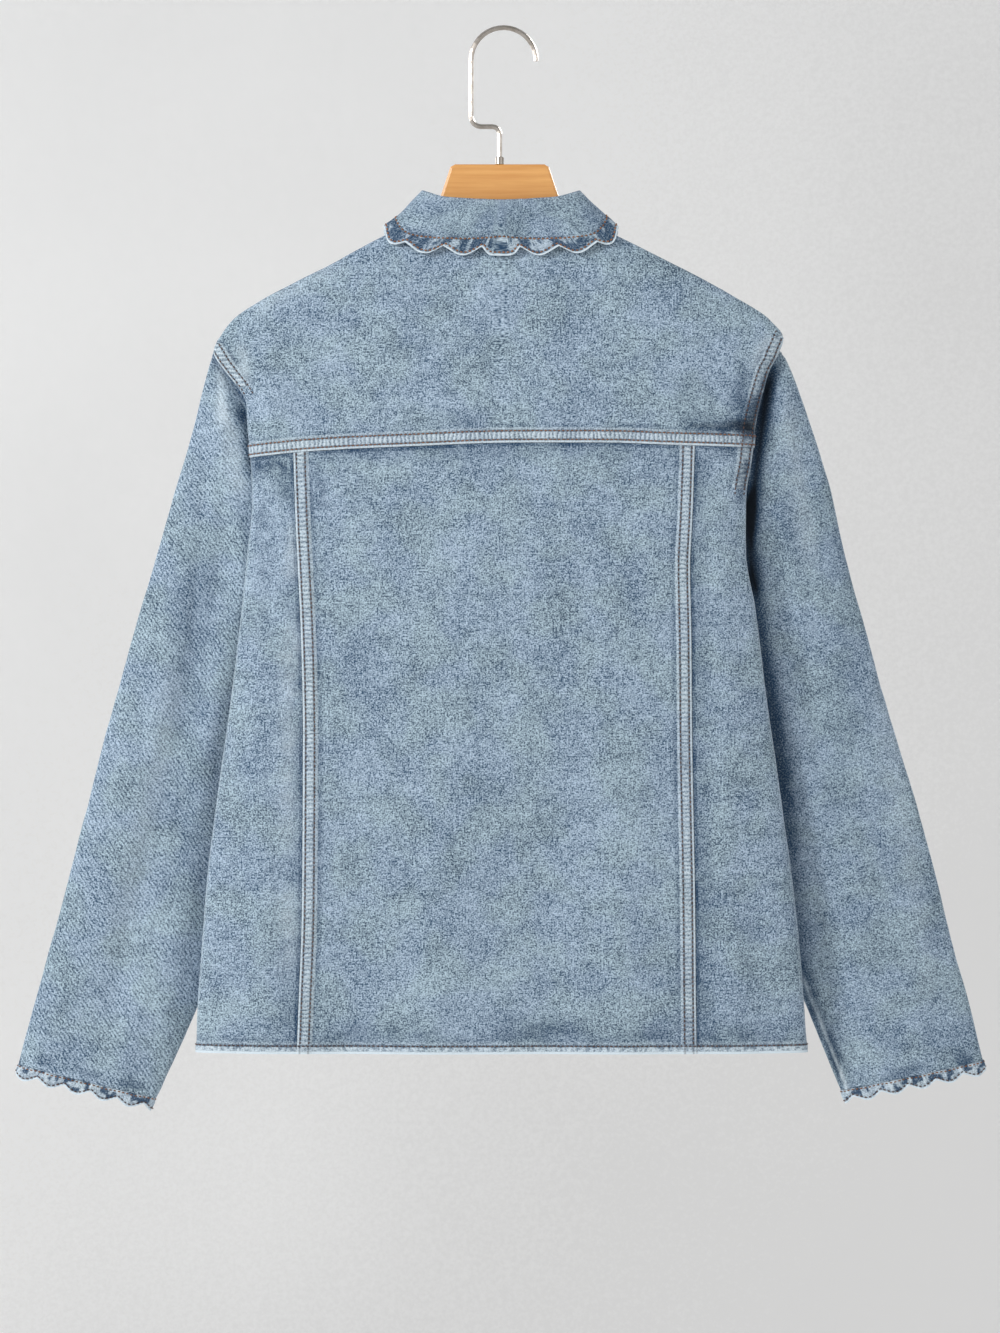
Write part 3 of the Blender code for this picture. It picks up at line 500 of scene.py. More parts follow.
def cloth(name, base, normals, relief, place, marks, flat, rests_on, area=None, closed=False):
    """A wall of cloth in place of a CAD node, raised from its base by the relief.

    `place` gives each point's position on the cloth, for the weave. `marks` gives its distance from a
    lapped edge, a hem or a neighbour's seam, how worn it is and how pale with painted highlight, how dark
    with dye and painted shade, and how much painted shadow of a deep gap it has.
    `flat` and `area`, in metres, are not used. The outer points are given back.
    """
    outer = base + normals * relief[..., None]
    rows, columns = outer.shape[:2]
    count = rows * columns
    points = np.concatenate([outer.reshape(-1, 3), (outer - normals * WALL).reshape(-1, 3)]) * MM
    index = np.arange(count).reshape(rows, columns)
    if closed:
        index = np.concatenate([index, index[:, :1]], axis=1)
    quads = np.stack([index[:-1, :-1], index[:-1, 1:], index[1:, 1:], index[1:, :-1]], axis=-1).reshape(-1, 4)
    faces = [quads, quads[:, ::-1] + count]
    rims = [index[0], index[-1][::-1]]
    if not closed:
        rims += [index[::-1, 0], index[:, -1]]
    for rim in rims:
        faces.append(np.stack([rim[1:], rim[:-1], rim[:-1] + count, rim[1:] + count], axis=-1))
    faces = np.concatenate(faces)
    middle = quads[len(quads) // 2]
    first = points[middle]
    facing = np.cross(first[1] - first[0], first[2] - first[0])
    if np.dot(facing, normals.reshape(-1, 3)[middle[0]]) < 0:
        faces = faces[:, ::-1]
    made = added(name, points, faces.tolist(), "_cloth", 55)
    data = made.data
    layer = data.uv_layers.new(name="cloth")
    corners = np.empty(len(data.loops), np.int32)
    data.loops.foreach_get("vertex_index", corners)
    place = place.reshape(-1, 2)
    spots = np.concatenate([place, place]) * MM
    layer.data.foreach_set("uv", spots[corners].astype(np.float32).ravel())
    for mark in ("wear", "dark", "gap", *DISTANCES):
        plain = FAR if mark in DISTANCES else 0.0
        values = np.broadcast_to(marks.get(mark, plain), (rows, columns)).ravel()
        kept = data.attributes.new(mark, "FLOAT", "POINT")
        kept.data.foreach_set("value", np.concatenate([values, values]).astype(np.float32))
    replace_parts(made, name)
    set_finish(made, "denim")
    return outer


STITCH_LENGTH = 2.2
STITCH_PITCH = 3.3
STITCH_INSET = 0.4
THREAD = 0.52
COLLAR_THREAD = 0.68
# One stitch: parts of its length, how thick it is there and how high it lies
STITCH = table(
    "along swell lift",
    (0, 0.25, -0.25),
    (0.18, 0.85, 0.15),
    (0.5, 1, 0.3),
    (0.82, 0.85, 0.15),
    (1, 0.25, -0.25),
)
STITCH_TURNS = (30, 90, 150, 210, 330)


def stitches(name, rows, finish, thick=THREAD):
    """One mesh of short raised stitches along each row; a row is a pair of points and normals."""
    swell = STITCH["swell"][:, None]
    lift = STITCH["lift"][:, None]
    sides = len(STITCH_TURNS)
    rings = len(swell)
    points = []
    faces = []
    for path, normals in rows:
        along = lengths_along(path)
        count = int(along[-1] / STITCH_PITCH)
        if count < 1:
            continue
        for start in np.linspace(STITCH_INSET, along[-1] - STITCH_LENGTH - STITCH_INSET, count):
            at = start + STITCH_LENGTH * STITCH["along"]
            middle = interpolated(at, along, path)
            up = unit(interpolated(at, along, normals))
            ahead = unit(np.gradient(middle, axis=0))
            aside = unit(np.cross(up, ahead))
            base = len(points)
            for turn in STITCH_TURNS:
                angle = math.radians(turn)
                offset = thick * swell * (math.cos(angle) * aside + math.sin(angle) * up)
                points.extend(middle + lift * up + offset)
            for ring in range(rings - 1):
                for k in range(sides):
                    a = base + k * rings + ring
                    b = base + (k + 1) % sides * rings + ring
                    faces.append((a, b, b + 1, a + 1))
            faces.append(tuple(base + k * rings for k in range(sides))[::-1])
            faces.append(tuple(base + k * rings + rings - 1 for k in range(sides)))
    made = added(name, np.array(points) * MM, faces)
    made.data.materials.append(finish)
    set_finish(made, "denim")


# Relief of the cloth, in millimetres out of its surface

LINE = "across drop to_across to_drop width out"
BACK_CREASES = table(
    LINE,
    # yoke and shoulders
    (-168, 238, -140, 306, 9, -1.6),
    (-186, 262, -166, 308, 6, 1),
    (150, 262, 178, 300, 8, -1.4),
    (168, 232, 186, 284, 7, 1.2),
    (-40, 176, -70, 230, 14, -0.7),
    (60, 176, 84, 226, 14, -0.7),
    # body
    (-178, 352, -176, 470, 9, -1.2),
    (-186, 470, -180, 740, 8, 1.2),
    (-100, 330, -92, 420, 12, -0.7),
    (-20, 340, -12, 470, 16, 0.7),
    (60, 345, 66, 520, 14, -0.8),
    (110, 330, 118, 470, 12, 0.8),
    (166, 360, 172, 520, 8, 1),
    (176, 560, 196, 740, 10, -1.2),
    (-64, 560, -72, 760, 12, -0.8),
    (34, 600, 40, 764, 12, -0.9),
    (84, 620, 90, 764, 10, 0.8),
)
BACK_SHADES = table(
    LINE,
    # here the last column is how much darker the cloth is, or paler where it is below nothing: darker dye
    # and painted shade, paler wear and painted highlight, and above one painted shadow in a gap
    (209, 243, 186, 318, 6, 0.85),
    (186, 312, 180, 362, 5, 0.65),
    (190, 256, 180, 306, 11, 0.70),
    (133, 301.5, 192, 303, 5.5, 1.20),
    (-190, 331, -162, 330, 7, 0.80),
    (-163, 326, -161, 358, 7, 0.75),
    (-138, 326, -136, 366, 4, 0.60),
    (-160, 424, -160, 436, 4, 0.35),
    (-159, 630, -160, 644, 4, 0.35),
    (-160, 730, -161, 744, 4, 0.45),
    (140, 552, 141, 566, 4, 0.35),
    (141, 738, 142, 756, 5, 0.35),
    (184, 328, 186, 352, 7, 0.55),
    (-120, 324, -20, 322, 5, 0.25),
    (30, 323, 120, 323, 5, 0.20),
    (-80, 299, -10, 296, 5, 0.30),
    (30, 296, 70, 296, 5, 0.20),
    (-140, 761, -40, 763, 9, 0.50),
    (-10, 759, 70, 761, 10, 0.60),
    (-157, 372, -160, 420, 8, -0.30),
    (-159, 442, -161, 622, 8, -0.30),
    (-160, 652, -162, 722, 8, -0.30),
    (90, 763, 210, 761, 8, 0.50),
    (-178, 340, -180, 470, 16, 0.20),
    (138, 256, 152, 308, 18, 0.18),
    (-160, 262, -130, 306, 24, 0.10),
    (118, 168, 186, 204, 7, 0.30),
    (-190, 214, -120, 178, 7, -0.25),
    (203, 230, 186, 280, 4.5, -0.50),
    (-198, 238, -191, 272, 3, -0.40),
    (-208, 246, -196, 264, 3, -0.40),
    (218, 600, 226, 720, 8, 0.25),
)
# Painted shade and painted highlight along the sleeves' folds, and painted shadow beside the body's edges; what
# is above one is painted shadow in the deep gap by the right sleeve.
SLEEVE_SHADES = table(
    LINE,
    (-226, 365, -242, 688, 12, 0.22),
    (-212, 262, -196, 356, 8, -0.30),
    (-214, 252, -212, 300, 4, -0.35),
    (-207, 276, -196, 298, 5, 0.70),
    (-240, 470, -296, 700, 10, -0.14),
    (-196, 360, -192, 420, 5, 0.25),
    (206, 244, 187, 392, 6.5, 1.95),
    (188, 350, 193, 432, 7, 1.35),
    (189.5, 392, 221, 610, 7.5, 1.15),
    (219, 590, 237, 770, 7, 0.70),
    (-196, 280, -192, 340, 5, 0.60),
    (-196, 450, -230, 740, 6, 0.25),
    (240, 340, 265, 430, 10, 0.22),
    (265, 430, 256, 623, 12, 0.20),
    (286, 470, 330, 740, 9, -0.12),
    (214, 272, 240, 410, 9, -0.20),
    (228, 704, 262, 806, 4, 0.30),
)
FRONT_CREASES = table(
    LINE,
    (-150, 300, -110, 430, 12, -1.2),
    (150, 300, 112, 430, 12, -1.2),
    (-90, 430, -100, 740, 12, 0.9),
    (96, 430, 104, 740, 12, 0.9),
    (-50, 330, -60, 520, 10, -0.8),
    (52, 330, 60, 520, 10, -0.8),
)
SLEEVE_CREASES = table(
    LINE,
    # left sleeve
    (-212, 262, -204, 372, 7, 2.2),
    (-226, 330, -243, 560, 7, -2.2),
    (-206, 300, -216, 430, 6, -1.8),
    (-214, 430, -232, 600, 9, 1.6),
    (-250, 420, -268, 560, 8, 1.4),
    (-238, 560, -262, 700, 9, -1.6),
    (-280, 600, -318, 760, 10, 1.2),
    (-236, 640, -262, 780, 8, 1.4),
    (-300, 690, -330, 790, 8, -1.4),
    (-222, 560, -250, 604, 6, -1.3),
    (-262, 640, -300, 664, 7, -1.1),
    # right sleeve
    (212, 262, 222, 330, 7, 1.6),
    (228, 320, 262, 440, 8, -2),
    (236, 336, 262, 430, 9, 1.6),
    (212, 350, 232, 470, 7, 1.8),
    (228, 470, 262, 620, 9, -1.8),
    (256, 560, 280, 700, 9, 1.6),
    (236, 560, 262, 640, 7, 1.2),
    (280, 640, 316, 780, 10, -1.4),
    (250, 700, 276, 800, 8, -1.3),
    (300, 600, 330, 720, 9, 1.1),
    (240, 650, 280, 668, 7, -1.1),
)


def creased(points, lines):
    """Soft troughs and ridges along lines in the plane of the jacket."""
    out = np.zeros(points.shape[:-1])
    x = points[..., 0]
    drop = -points[..., 2]
    for line in each_row(lines):
        start = np.array([line["across"], line["drop"]])
        run = np.array([line["to_across"], line["to_drop"]]) - start
        length = np.linalg.norm(run)
        run = run / length
        along = ((x - start[0]) * run[0] + (drop - start[1]) * run[1]) / length
        away = np.abs((x - start[0]) * -run[1] + (drop - start[1]) * run[0])
        fade = eased(along / 0.3 + 0.35) * eased((1 - along) / 0.3 + 0.35)
        sway = 1.5 * np.sin(along * 5 + start[0])
        out += line["out"] * fade * bump(away + sway, line["width"])
    return out


def shaded(points, lines, marks, seed, share=1.0, rough=1.0):
    """Marks with the darker and paler places of a table added, patchy: darker dye and painted shade, paler
    wear and painted highlight; what is above one is painted shadow in a deep gap.
    """
    x = points[..., 0]
    drop = -points[..., 2]
    patchy = 0.5 * wander(x, drop, 7.0, 7.0, seed) + 0.35 * wander(x, drop, 2.6, 3.2, seed + 1)
    ragged = 1 + rough * (patchy - 0.25)
    dye_wear_and_painted_light = creased(points, lines) * share
    dark = np.clip(marks.get("dark", 0.0) + np.maximum(dye_wear_and_painted_light, 0) * ragged, 0, 1)
    wear = np.clip(marks.get("wear", 0.0) + np.maximum(-dye_wear_and_painted_light, 0) * ragged, 0, 1)
    return {**marks, "dark": dark, "wear": wear, "gap": np.clip(dye_wear_and_painted_light - 1, 0, 1)}


def cloth_waves(across, drop, seed):
    """Slight unevenness that worn denim keeps everywhere."""
    return (
        0.45 * wander(across, drop, 38.0, 64.0, seed)
        + 0.22 * wander(across, drop, 15.0, 24.0, seed + 1)
        + 0.09 * wander(across, drop, 6.0, 8.0, seed + 2)
    )


FIRST_ROW = 2.2
SECOND_ROW = 8.9
SEAM_ROWS = (FIRST_ROW, SECOND_ROW)
HEM_ROW = 6.0


def seam_relief(away, along, seed):
    """A felled seam: a raised band that its two rows of stitches draw in."""
    band = eased((SEAM_WIDTH + 1.2 - away) / 1.4) * (0.6 + 0.4 * eased(away / 0.8))
    rows = bump(away - FIRST_ROW, 0.7) + bump(away - SECOND_ROW, 0.7)
    pucker = wander(along, away, 9.0, 16.0, seed) * bump(np.maximum(away - SEAM_WIDTH, 0.0), 9.0)
    return SEAM_RISE * band + 0.2 * pucker - 0.25 * rows


def under_seam_relief(away, along, seed):
    """The panel beside a seam's edge, drawn up by the same stitches."""
    pucker = wander(along, away, 8.0, 14.0, seed) + 0.5 * wander(along, away, 5.0, 9.0, seed + 1)
    return 0.22 * pucker * bump(away, 11.0)


def hem_relief(away, along, seed):
    pucker = wander(along + 0.8 * away, away, 7.0, 12.0, seed)
    band = eased((HEM_DEPTH + 0.5 - away) / 0.9)
    row = bump(away - HEM_ROW, 0.6)
    return HEM_RISE * band + 0.22 * pucker * bump(np.maximum(away - HEM_DEPTH, 0.0), 8.0) - 0.25 * row


# The drops between which each armhole's seam shows, and the line it follows over the shoulder
ARMHOLE_SHOWN = {"left": (230.0, 284.0), "right": (226.0, 362.0)}
SHOULDER_LEVEL = 252.0
SHOULDER_LINES = {"left": (214.8, 0.60), "right": (207.2, 0.44)}


def armhole_shown(side, drop):
    """Where an armhole's felled seam lies on the back, 0 to 1, before it turns to the front."""
    start, end = ARMHOLE_SHOWN[side]
    return eased((drop - start + 6) / 14) * eased((end - drop) / 14)


def from_armhole(side, arc, drop):
    """Distance from an armhole's seam, which lies on the fold and goes on up over the shoulder."""
    start, lean = SHOULDER_LINES[side]
    fold = sign_of(side) * on_tube(edge_arc(side, drop), drop)[..., 0]
    over = eased((SHOULDER_LEVEL - drop) / 8.0)
    line = fold * (1 - over) + (start + lean * (SHOULDER_LEVEL - drop)) * over
    return line - sign_of(side) * on_tube(arc, drop)[..., 0]


# Body panels

ALONG_Y = (0.2, 1.0, 0.0)
PANEL_HEIGHT = 460.0
CENTER_WIDTH = 300.0
SIDE_WIDTH = 112.0
YOKE_WIDTH = 400.0
YOKE_HEIGHT = 166.0


def spread(width, low_band, high_band):
    """Places across a panel, in fractions and distances, close together where it has a seam."""
    low = np.array(CLOSE if low_band else (0.0,))
    high = np.array(CLOSE if high_band else (0.0,))
    middle = np.linspace(0, 1, int((width - low[-1] - high[-1]) / STEP) + 2)[1:-1]
    parts = np.concatenate([0 * low, middle, 0 * high + 1])
    moves = np.concatenate([low, low[-1] * (1 - middle) - high[-1] * middle, -high[::-1]])
    return parts, moves


def row_at(parts, moves, part, move):
    """The place in a spread that lies nearest to a distance from one of its ends."""
    return int(np.argmin(np.abs(parts - part) * 1e4 + np.abs(moves - move)))


def princess(side, gap, drop):
    return back_arc(looked_up(PRINCESS, side, drop), drop) + gap


def seam_between(left, right, gap, part, move_by):
    level = YOKE_LEVEL + 0 * part
    return yoke_seam(left(level) * (1 - part) + right(level) * part + move_by) + gap


def hem_level(part, move):
    return HEM_DROP + 0 * part


def panel_grid(columns, rows, left, right, low, high):
    """Arcs and drops of a panel's points, with the distances from its low and high ends."""
    part, move = (values[None, :] for values in columns)
    up, raised = (values[:, None] for values in rows)
    bottom = low(part, move)
    top = high(part, move)
    drop = bottom + (top - bottom) * up - raised
    arc = left(drop) * (1 - part) + right(drop) * part + move
    return arc, drop, bottom - drop, drop - top


def tube_cloth(name, arc, drop, relief, marks, **sheet):
    """A fine panel on the back of the body tube; it gives back its points and normals."""
    base = on_tube(arc, drop)
    outward = base * ALONG_Y
    normals = grid_normals(base, outward)
    relief = relief + creased(base, BACK_CREASES) + cloth_waves(arc, drop, 11)
    from_fold = np.minimum(arc - edge_arc("left", drop), edge_arc("right", drop) - arc)
    marks["wear"] = 0.5 * bump(from_fold, 3.0) * (drop > ARMHOLE_TOP)
    # Painted shade and highlight, with darker dye and paler wear, from the back's shade table.
    marks = shaded(base, BACK_SHADES, marks, 15)
    place = np.stack([arc, drop], axis=-1)
    outer = cloth(name, base, normals, relief, place, marks, rests_on=["hanger_wood"], **sheet)
    return outer, grid_normals(outer, outward)


def armhole_rows(side, points, normals, away, shown):
    """The two rows of stitches along an armhole, as far as it lies on the back."""
    threads = []
    for distance in SEAM_ROWS:
        path = []
        facing = []
        for row in range(len(points)):
            fold = int(np.argmin(away[row]))
            if away[row, fold] > distance or shown[row, fold] < 0.4:
                continue
            inward = slice(fold, None, 1 if side == "left" else -1)
            path.append(interpolated(distance, away[row, inward], points[row, inward]))
            facing.append(interpolated(distance, away[row, inward], normals[row, inward]))
        if len(path) > 1:
            threads.append((np.array(path), np.array(facing)))
    return threads


def make_back_center():
    left = partial(princess, "left", HALF_GAP)
    right = partial(princess, "right", -HALF_GAP)
    top = partial(seam_between, left, right, HALF_GAP)
    columns = spread(CENTER_WIDTH, True, True)
    rows = spread(PANEL_HEIGHT, True, True)
    arc, drop, from_hem, from_top = panel_grid(columns, rows, left, right, hem_level, top)
    from_left = arc - left(drop)
    from_right = right(drop) - arc
    relief = seam_relief(from_left, drop, 21) + seam_relief(from_right, drop, 22)
    relief += under_seam_relief(from_top, arc, 31) + hem_relief(from_hem, arc, 41)
    marks = {"lap_side": np.minimum(from_left, from_right), "hem": from_hem, "beside": from_top}
    points, normals = tube_cloth("back_center", arc, drop, relief, marks, flat=(0.305, 0.47))
    hem_row = row_at(*rows, 0.0, HEM_ROW)
    threads = []
    for end, step in ((0.0, 1), (1.0, -1)):
        for distance in SEAM_ROWS:
            place = row_at(*columns, end, step * distance)
            threads.append((points[hem_row + 1 :, place], normals[hem_row + 1 :, place]))
    threads.append((points[hem_row], normals[hem_row]))
    return threads


def make_back_side(side):
    outer_edge = partial(side_edge, side, "back")
    seam = partial(princess, side, sign_of(side) * HALF_GAP)
    left, right = (outer_edge, seam) if side == "left" else (seam, outer_edge)
    top = partial(seam_between, left, right, HALF_GAP)
    columns = spread(SIDE_WIDTH, side == "left", side == "right")
    rows = spread(PANEL_HEIGHT, True, True)
    arc, drop, from_hem, from_top = panel_grid(columns, rows, left, right, hem_level, top)
    from_seam = sign_of(side) * (arc - seam(drop))
    from_edge = from_armhole(side, arc, drop)
    shown = armhole_shown(side, drop)
    seed = 50 if side == "left" else 60
    relief = seam_relief(from_edge, drop, seed) * shown + under_seam_relief(from_seam, drop, seed + 3)
    relief += under_seam_relief(from_top, arc, 31) + hem_relief(from_hem, arc, 41)
    lap = from_edge + FAR * (1 - shown)
    marks = {"lap_side": lap, "hem": from_hem, "beside": np.minimum(from_top, from_seam)}
    points, normals = tube_cloth(f"back_side_{side}", arc, drop, relief, marks, flat=(0.125, 0.47))
    hem_row = row_at(*rows, 0.0, HEM_ROW)
    threads = armhole_rows(side, points, normals, from_edge, shown + 0 * arc)
    return threads + [(points[hem_row], normals[hem_row])]


def back_neck(across):
    part = np.minimum(1.0, np.abs(across) / NECK_HALF_WIDTH)
    return SIDE_NECK + (BACK_NECK - SIDE_NECK) * np.cos(part * math.pi / 2)


def make_back_yoke():
    left = partial(side_edge, "left", "back")
    right = partial(side_edge, "right", "back")
    low = partial(seam_between, left, right, -HALF_GAP)

    def high(part, move):
        drop = BACK_NECK + 0 * part
        for _ in range(12):
            arc = left(drop) * (1 - part) + right(drop) * part
            drop = (drop + back_neck(on_tube(arc, drop)[..., 0])) / 2
        return drop

    rows = spread(YOKE_HEIGHT, True, False)
    arc, drop, from_seam, _ = panel_grid(spread(YOKE_WIDTH, True, True), rows, left, right, low, high)
    from_left = from_armhole("left", arc, drop)
    from_right = from_armhole("right", arc, drop)
    shown_left = armhole_shown("left", drop)
    shown_right = armhole_shown("right", drop)
    relief = seam_relief(from_seam, arc, 71)
    relief += seam_relief(from_left, drop, 72) * shown_left + seam_relief(from_right, drop, 73) * shown_right
    lap = np.minimum(from_left + FAR * (1 - shown_left), from_right + FAR * (1 - shown_right))
    marks = {"lap_side": lap, "lap_level": from_seam}
    points, normals = tube_cloth("back_yoke", arc, drop, relief, marks, flat=(0.42, 0.185), area=0.058)
    places = [row_at(*rows, 0.0, distance) for distance in SEAM_ROWS]
    armholes = armhole_rows("left", points, normals, from_left, shown_left)
    armholes += armhole_rows("right", points, normals, from_right, shown_right)
    return [(points[place], normals[place]) for place in places], armholes


# Fronts


def front_neck(part):
    """Half width and drop of the front neckline from the shoulder, 0, to the band, 1."""
    angle = np.minimum(part, 1.0) * math.pi / 2
    end = BAND_HALF_WIDTH + SEAM_GAP
    across = end + (NECK_HALF_WIDTH - end) * np.cos(angle)
    return across, SIDE_NECK + (FRONT_NECK - SIDE_NECK) * np.sin(angle)


def make_front(side):
    """A front, laid out evenly between its four edges: the side, the band, the hem and the neck."""
    sign = sign_of(side)
    band = BAND_HALF_WIDTH + SEAM_GAP
    close = np.array(CLOSE)
    edge_drops = np.concatenate([HEM_DROP - close, np.arange(HEM_DROP - close[-1] - STEP, SIDE_NECK, -STEP)])
    edge_drops = np.append(edge_drops, SIDE_NECK)[:, None]
    part = np.linspace(0, 1, 64)[None, :]
    up = (HEM_DROP - edge_drops) / (HEM_DROP - SIDE_NECK)
    edge_arcs = side_edge(side, "front", edge_drops)
    edge = on_tube(edge_arcs, edge_drops)[..., 0] * sign
    hem_edge = edge[0, 0]
    neck, neck_level = front_neck(part)
    hem = hem_edge * (1 - part) + band * part
    corners = (1 - up) * (1 - part) * hem_edge + up * (1 - part) * NECK_HALF_WIDTH + part * band
    across = (1 - up) * hem + up * neck + (1 - part) * edge + part * band - corners
    band_drop = HEM_DROP + (FRONT_NECK - HEM_DROP) * up
    plain = HEM_DROP + (SIDE_NECK + (FRONT_NECK - SIDE_NECK) * part - HEM_DROP) * up
    drop = (1 - up) * HEM_DROP + up * neck_level + (1 - part) * edge_drops + part * band_drop - plain
    arc = front_arc(sign * across, drop)
    from_hem = HEM_DROP - drop
    base = on_tube(arc, drop)
    outward = base * ALONG_Y
    normals = grid_normals(base, outward)
    relief = hem_relief(from_hem, arc, 43) + creased(base, FRONT_CREASES) + cloth_waves(arc, drop, 12)
    relief = relief * eased((np.abs(base[..., 0]) - band) / 14 + 0.1)
    place = np.stack([arc, drop], axis=-1)
    marks = {"hem": from_hem, "beside": np.abs(arc - edge_arcs)}
    name = f"front_{side}"
    outer = cloth(name, base, normals, relief, place, marks, (0.25, 0.65), ["hanger_wood"], area=0.113)
    hem_row = int(np.argmin(np.abs(edge_drops[:, 0] - (HEM_DROP - HEM_ROW))))
    return [(outer[hem_row], grid_normals(outer, outward)[hem_row])]


def make_front_band(name, lift):
    """One of the two bands that close the front, one over the other."""
    drops = np.linspace(HEM_DROP, FRONT_NECK + SEAM_GAP, 180)[:, None]
    places = np.linspace(-BAND_HALF_WIDTH, BAND_HALF_WIDTH, 15)[None, :]
    base = on_tube(front_arc(places, drops), drops)
    outward = base * (0.0, 1.0, 0.0)
    normals = grid_normals(base, outward)
    edge = BAND_HALF_WIDTH - np.abs(places) + 0 * drops
    relief = lift - 0.2 * bump(edge - 2.0, 0.8) + 0.06 * wander(places, drops, 5.0, 7.0, 81)
    dark = 0.3 * bump(edge - 4.0, 2.0) * eased(wander(places, drops, 6.0, 6.0, 82))
    marks = {"wear": 0.8 * eased((1.4 - edge) / 1.2), "dark": dark}
    place = np.stack([places + 0 * drops, drops + 0 * places], axis=-1)
    outer = cloth(name, base, normals, relief, place, marks, (0.03, 0.555), ["front_left", "front_right"])
    found = grid_normals(outer, outward)
    return [(outer[:, 1], found[:, 1]), (outer[:, -2], found[:, -2])]


# Sleeves and cuffs

SLEEVE_POINTS = 176
SLEEVE_LENGTH = 560.0
HALF_ROUND = 110.0
HALF_WIDTH = 60.0
SLEEVE_LEAN = 0.284
UNDERARM_TURN = {"left": 1.08, "right": 0.85}
HEAD_ROWS = 6
CUFF_POINTS_PER_SCALLOP = 26


def sleeve_fold(side, across, along):
    out = 0.0
    for fold in each_row(SLEEVE_FOLDS[side]):
        grow = eased((along - fold["start"]) / 0.12) * eased((fold["end"] - along) / 0.12)
        out = out + fold["out"] * grow * bump(across - fold["across"] - fold["slide"] * along, fold["width"])
    return out


def sleeve_point(side, turn, along):
    """A point of the sleeve. The turn runs from the outer edge, 0, down the back to the inner edge, pi."""
    cuff_outer, cuff_inner = CUFF_DROPS[side]
    outer_drop = ARMHOLE_TOP + (cuff_outer - ARMHOLE_TOP) * along
    inner_drop = UNDERARM + (cuff_inner - UNDERARM) * along
    outer_x = looked_up(SLEEVE_OUTER, side, outer_drop)
    inner_x = looked_up(SLEEVE_INNER, side, inner_drop)
    outer_middle, inner_middle, depth = looked_up(SLEEVE, "outer_middle inner_middle depth", along)
    part = (1 - root(np.cos(turn), SLEEVE_SQUARE)) / 2
    fold = sleeve_fold(side, part, along) * np.sin(turn)
    middle = outer_middle + (inner_middle - outer_middle) * part
    x = outer_x + (inner_x - outer_x) * part
    y = middle - depth * root(np.sin(turn), SLEEVE_SQUARE) - fold
    drop = outer_drop + (inner_drop - outer_drop) * part
    return np.stack([x, y, -drop], axis=-1)


def armhole_ring(side, count):
    """Points and outward normals of the armhole, from its top down the back and up the front."""
    drops = ARMHOLE["drop"]
    levels = np.interp(np.linspace(0, len(drops) - 1, 60), np.arange(len(drops)), drops)
    holes = looked_up(ARMHOLE, "back front", levels)
    back, front = (edge_arc(side, levels) + sign_of(side) * hole for hole in holes)
    arcs = np.concatenate([back, front[-2:0:-1]])
    rings = np.concatenate([levels, levels[-2:0:-1]])
    nudge = 0.5
    round_it = on_tube(arcs + nudge, rings) - on_tube(arcs - nudge, rings)
    down_it = on_tube(arcs, rings + nudge) - on_tube(arcs, rings - nudge)
    edge = closed_up(on_tube(arcs, rings))
    out = closed_up(unit(np.cross(down_it, round_it)))
    around = lengths_along(edge)
    underarm = around[len(levels) - 1]
    whole = around[-1]
    half = count // 2
    back_half = np.linspace(0, underarm, half + 1)[:-1]
    wanted = np.concatenate([back_half, np.linspace(underarm, whole, count - half + 1)[:-1]])
    turns = np.where(
        wanted <= underarm,
        math.pi * wanted / underarm,
        math.pi + math.pi * (wanted - underarm) / (whole - underarm),
    )
    return interpolated(wanted, around, edge), unit(interpolated(wanted, around, out)), turns


def sleeve_place(side, points, turns):
    """Where points lie on a sleeve's cloth, laid flat both ways from the middle of its back."""
    lean = sign_of(side) * SLEEVE_LEAN
    upright = math.sqrt(1 - lean**2)
    across = points[..., 0] * upright + points[..., 2] * lean
    along = points[..., 0] * lean - points[..., 2] * upright
    steps = np.hypot(across - np.roll(across, 1, axis=1), points[..., 1] - np.roll(points[..., 1], 1, axis=1))
    whole = steps.sum(axis=1, keepdims=True)
    steps[:, 0] = 0.0
    round_it = np.cumsum(steps, axis=1)
    round_it = np.where(turns > math.pi, round_it - whole, round_it)
    middle = int(np.argmin(np.abs(turns - math.pi / 2)))
    flat = across[:, [middle]] - sign_of(side) * (round_it - round_it[:, [middle]])
    return np.stack([flat, along], axis=-1)


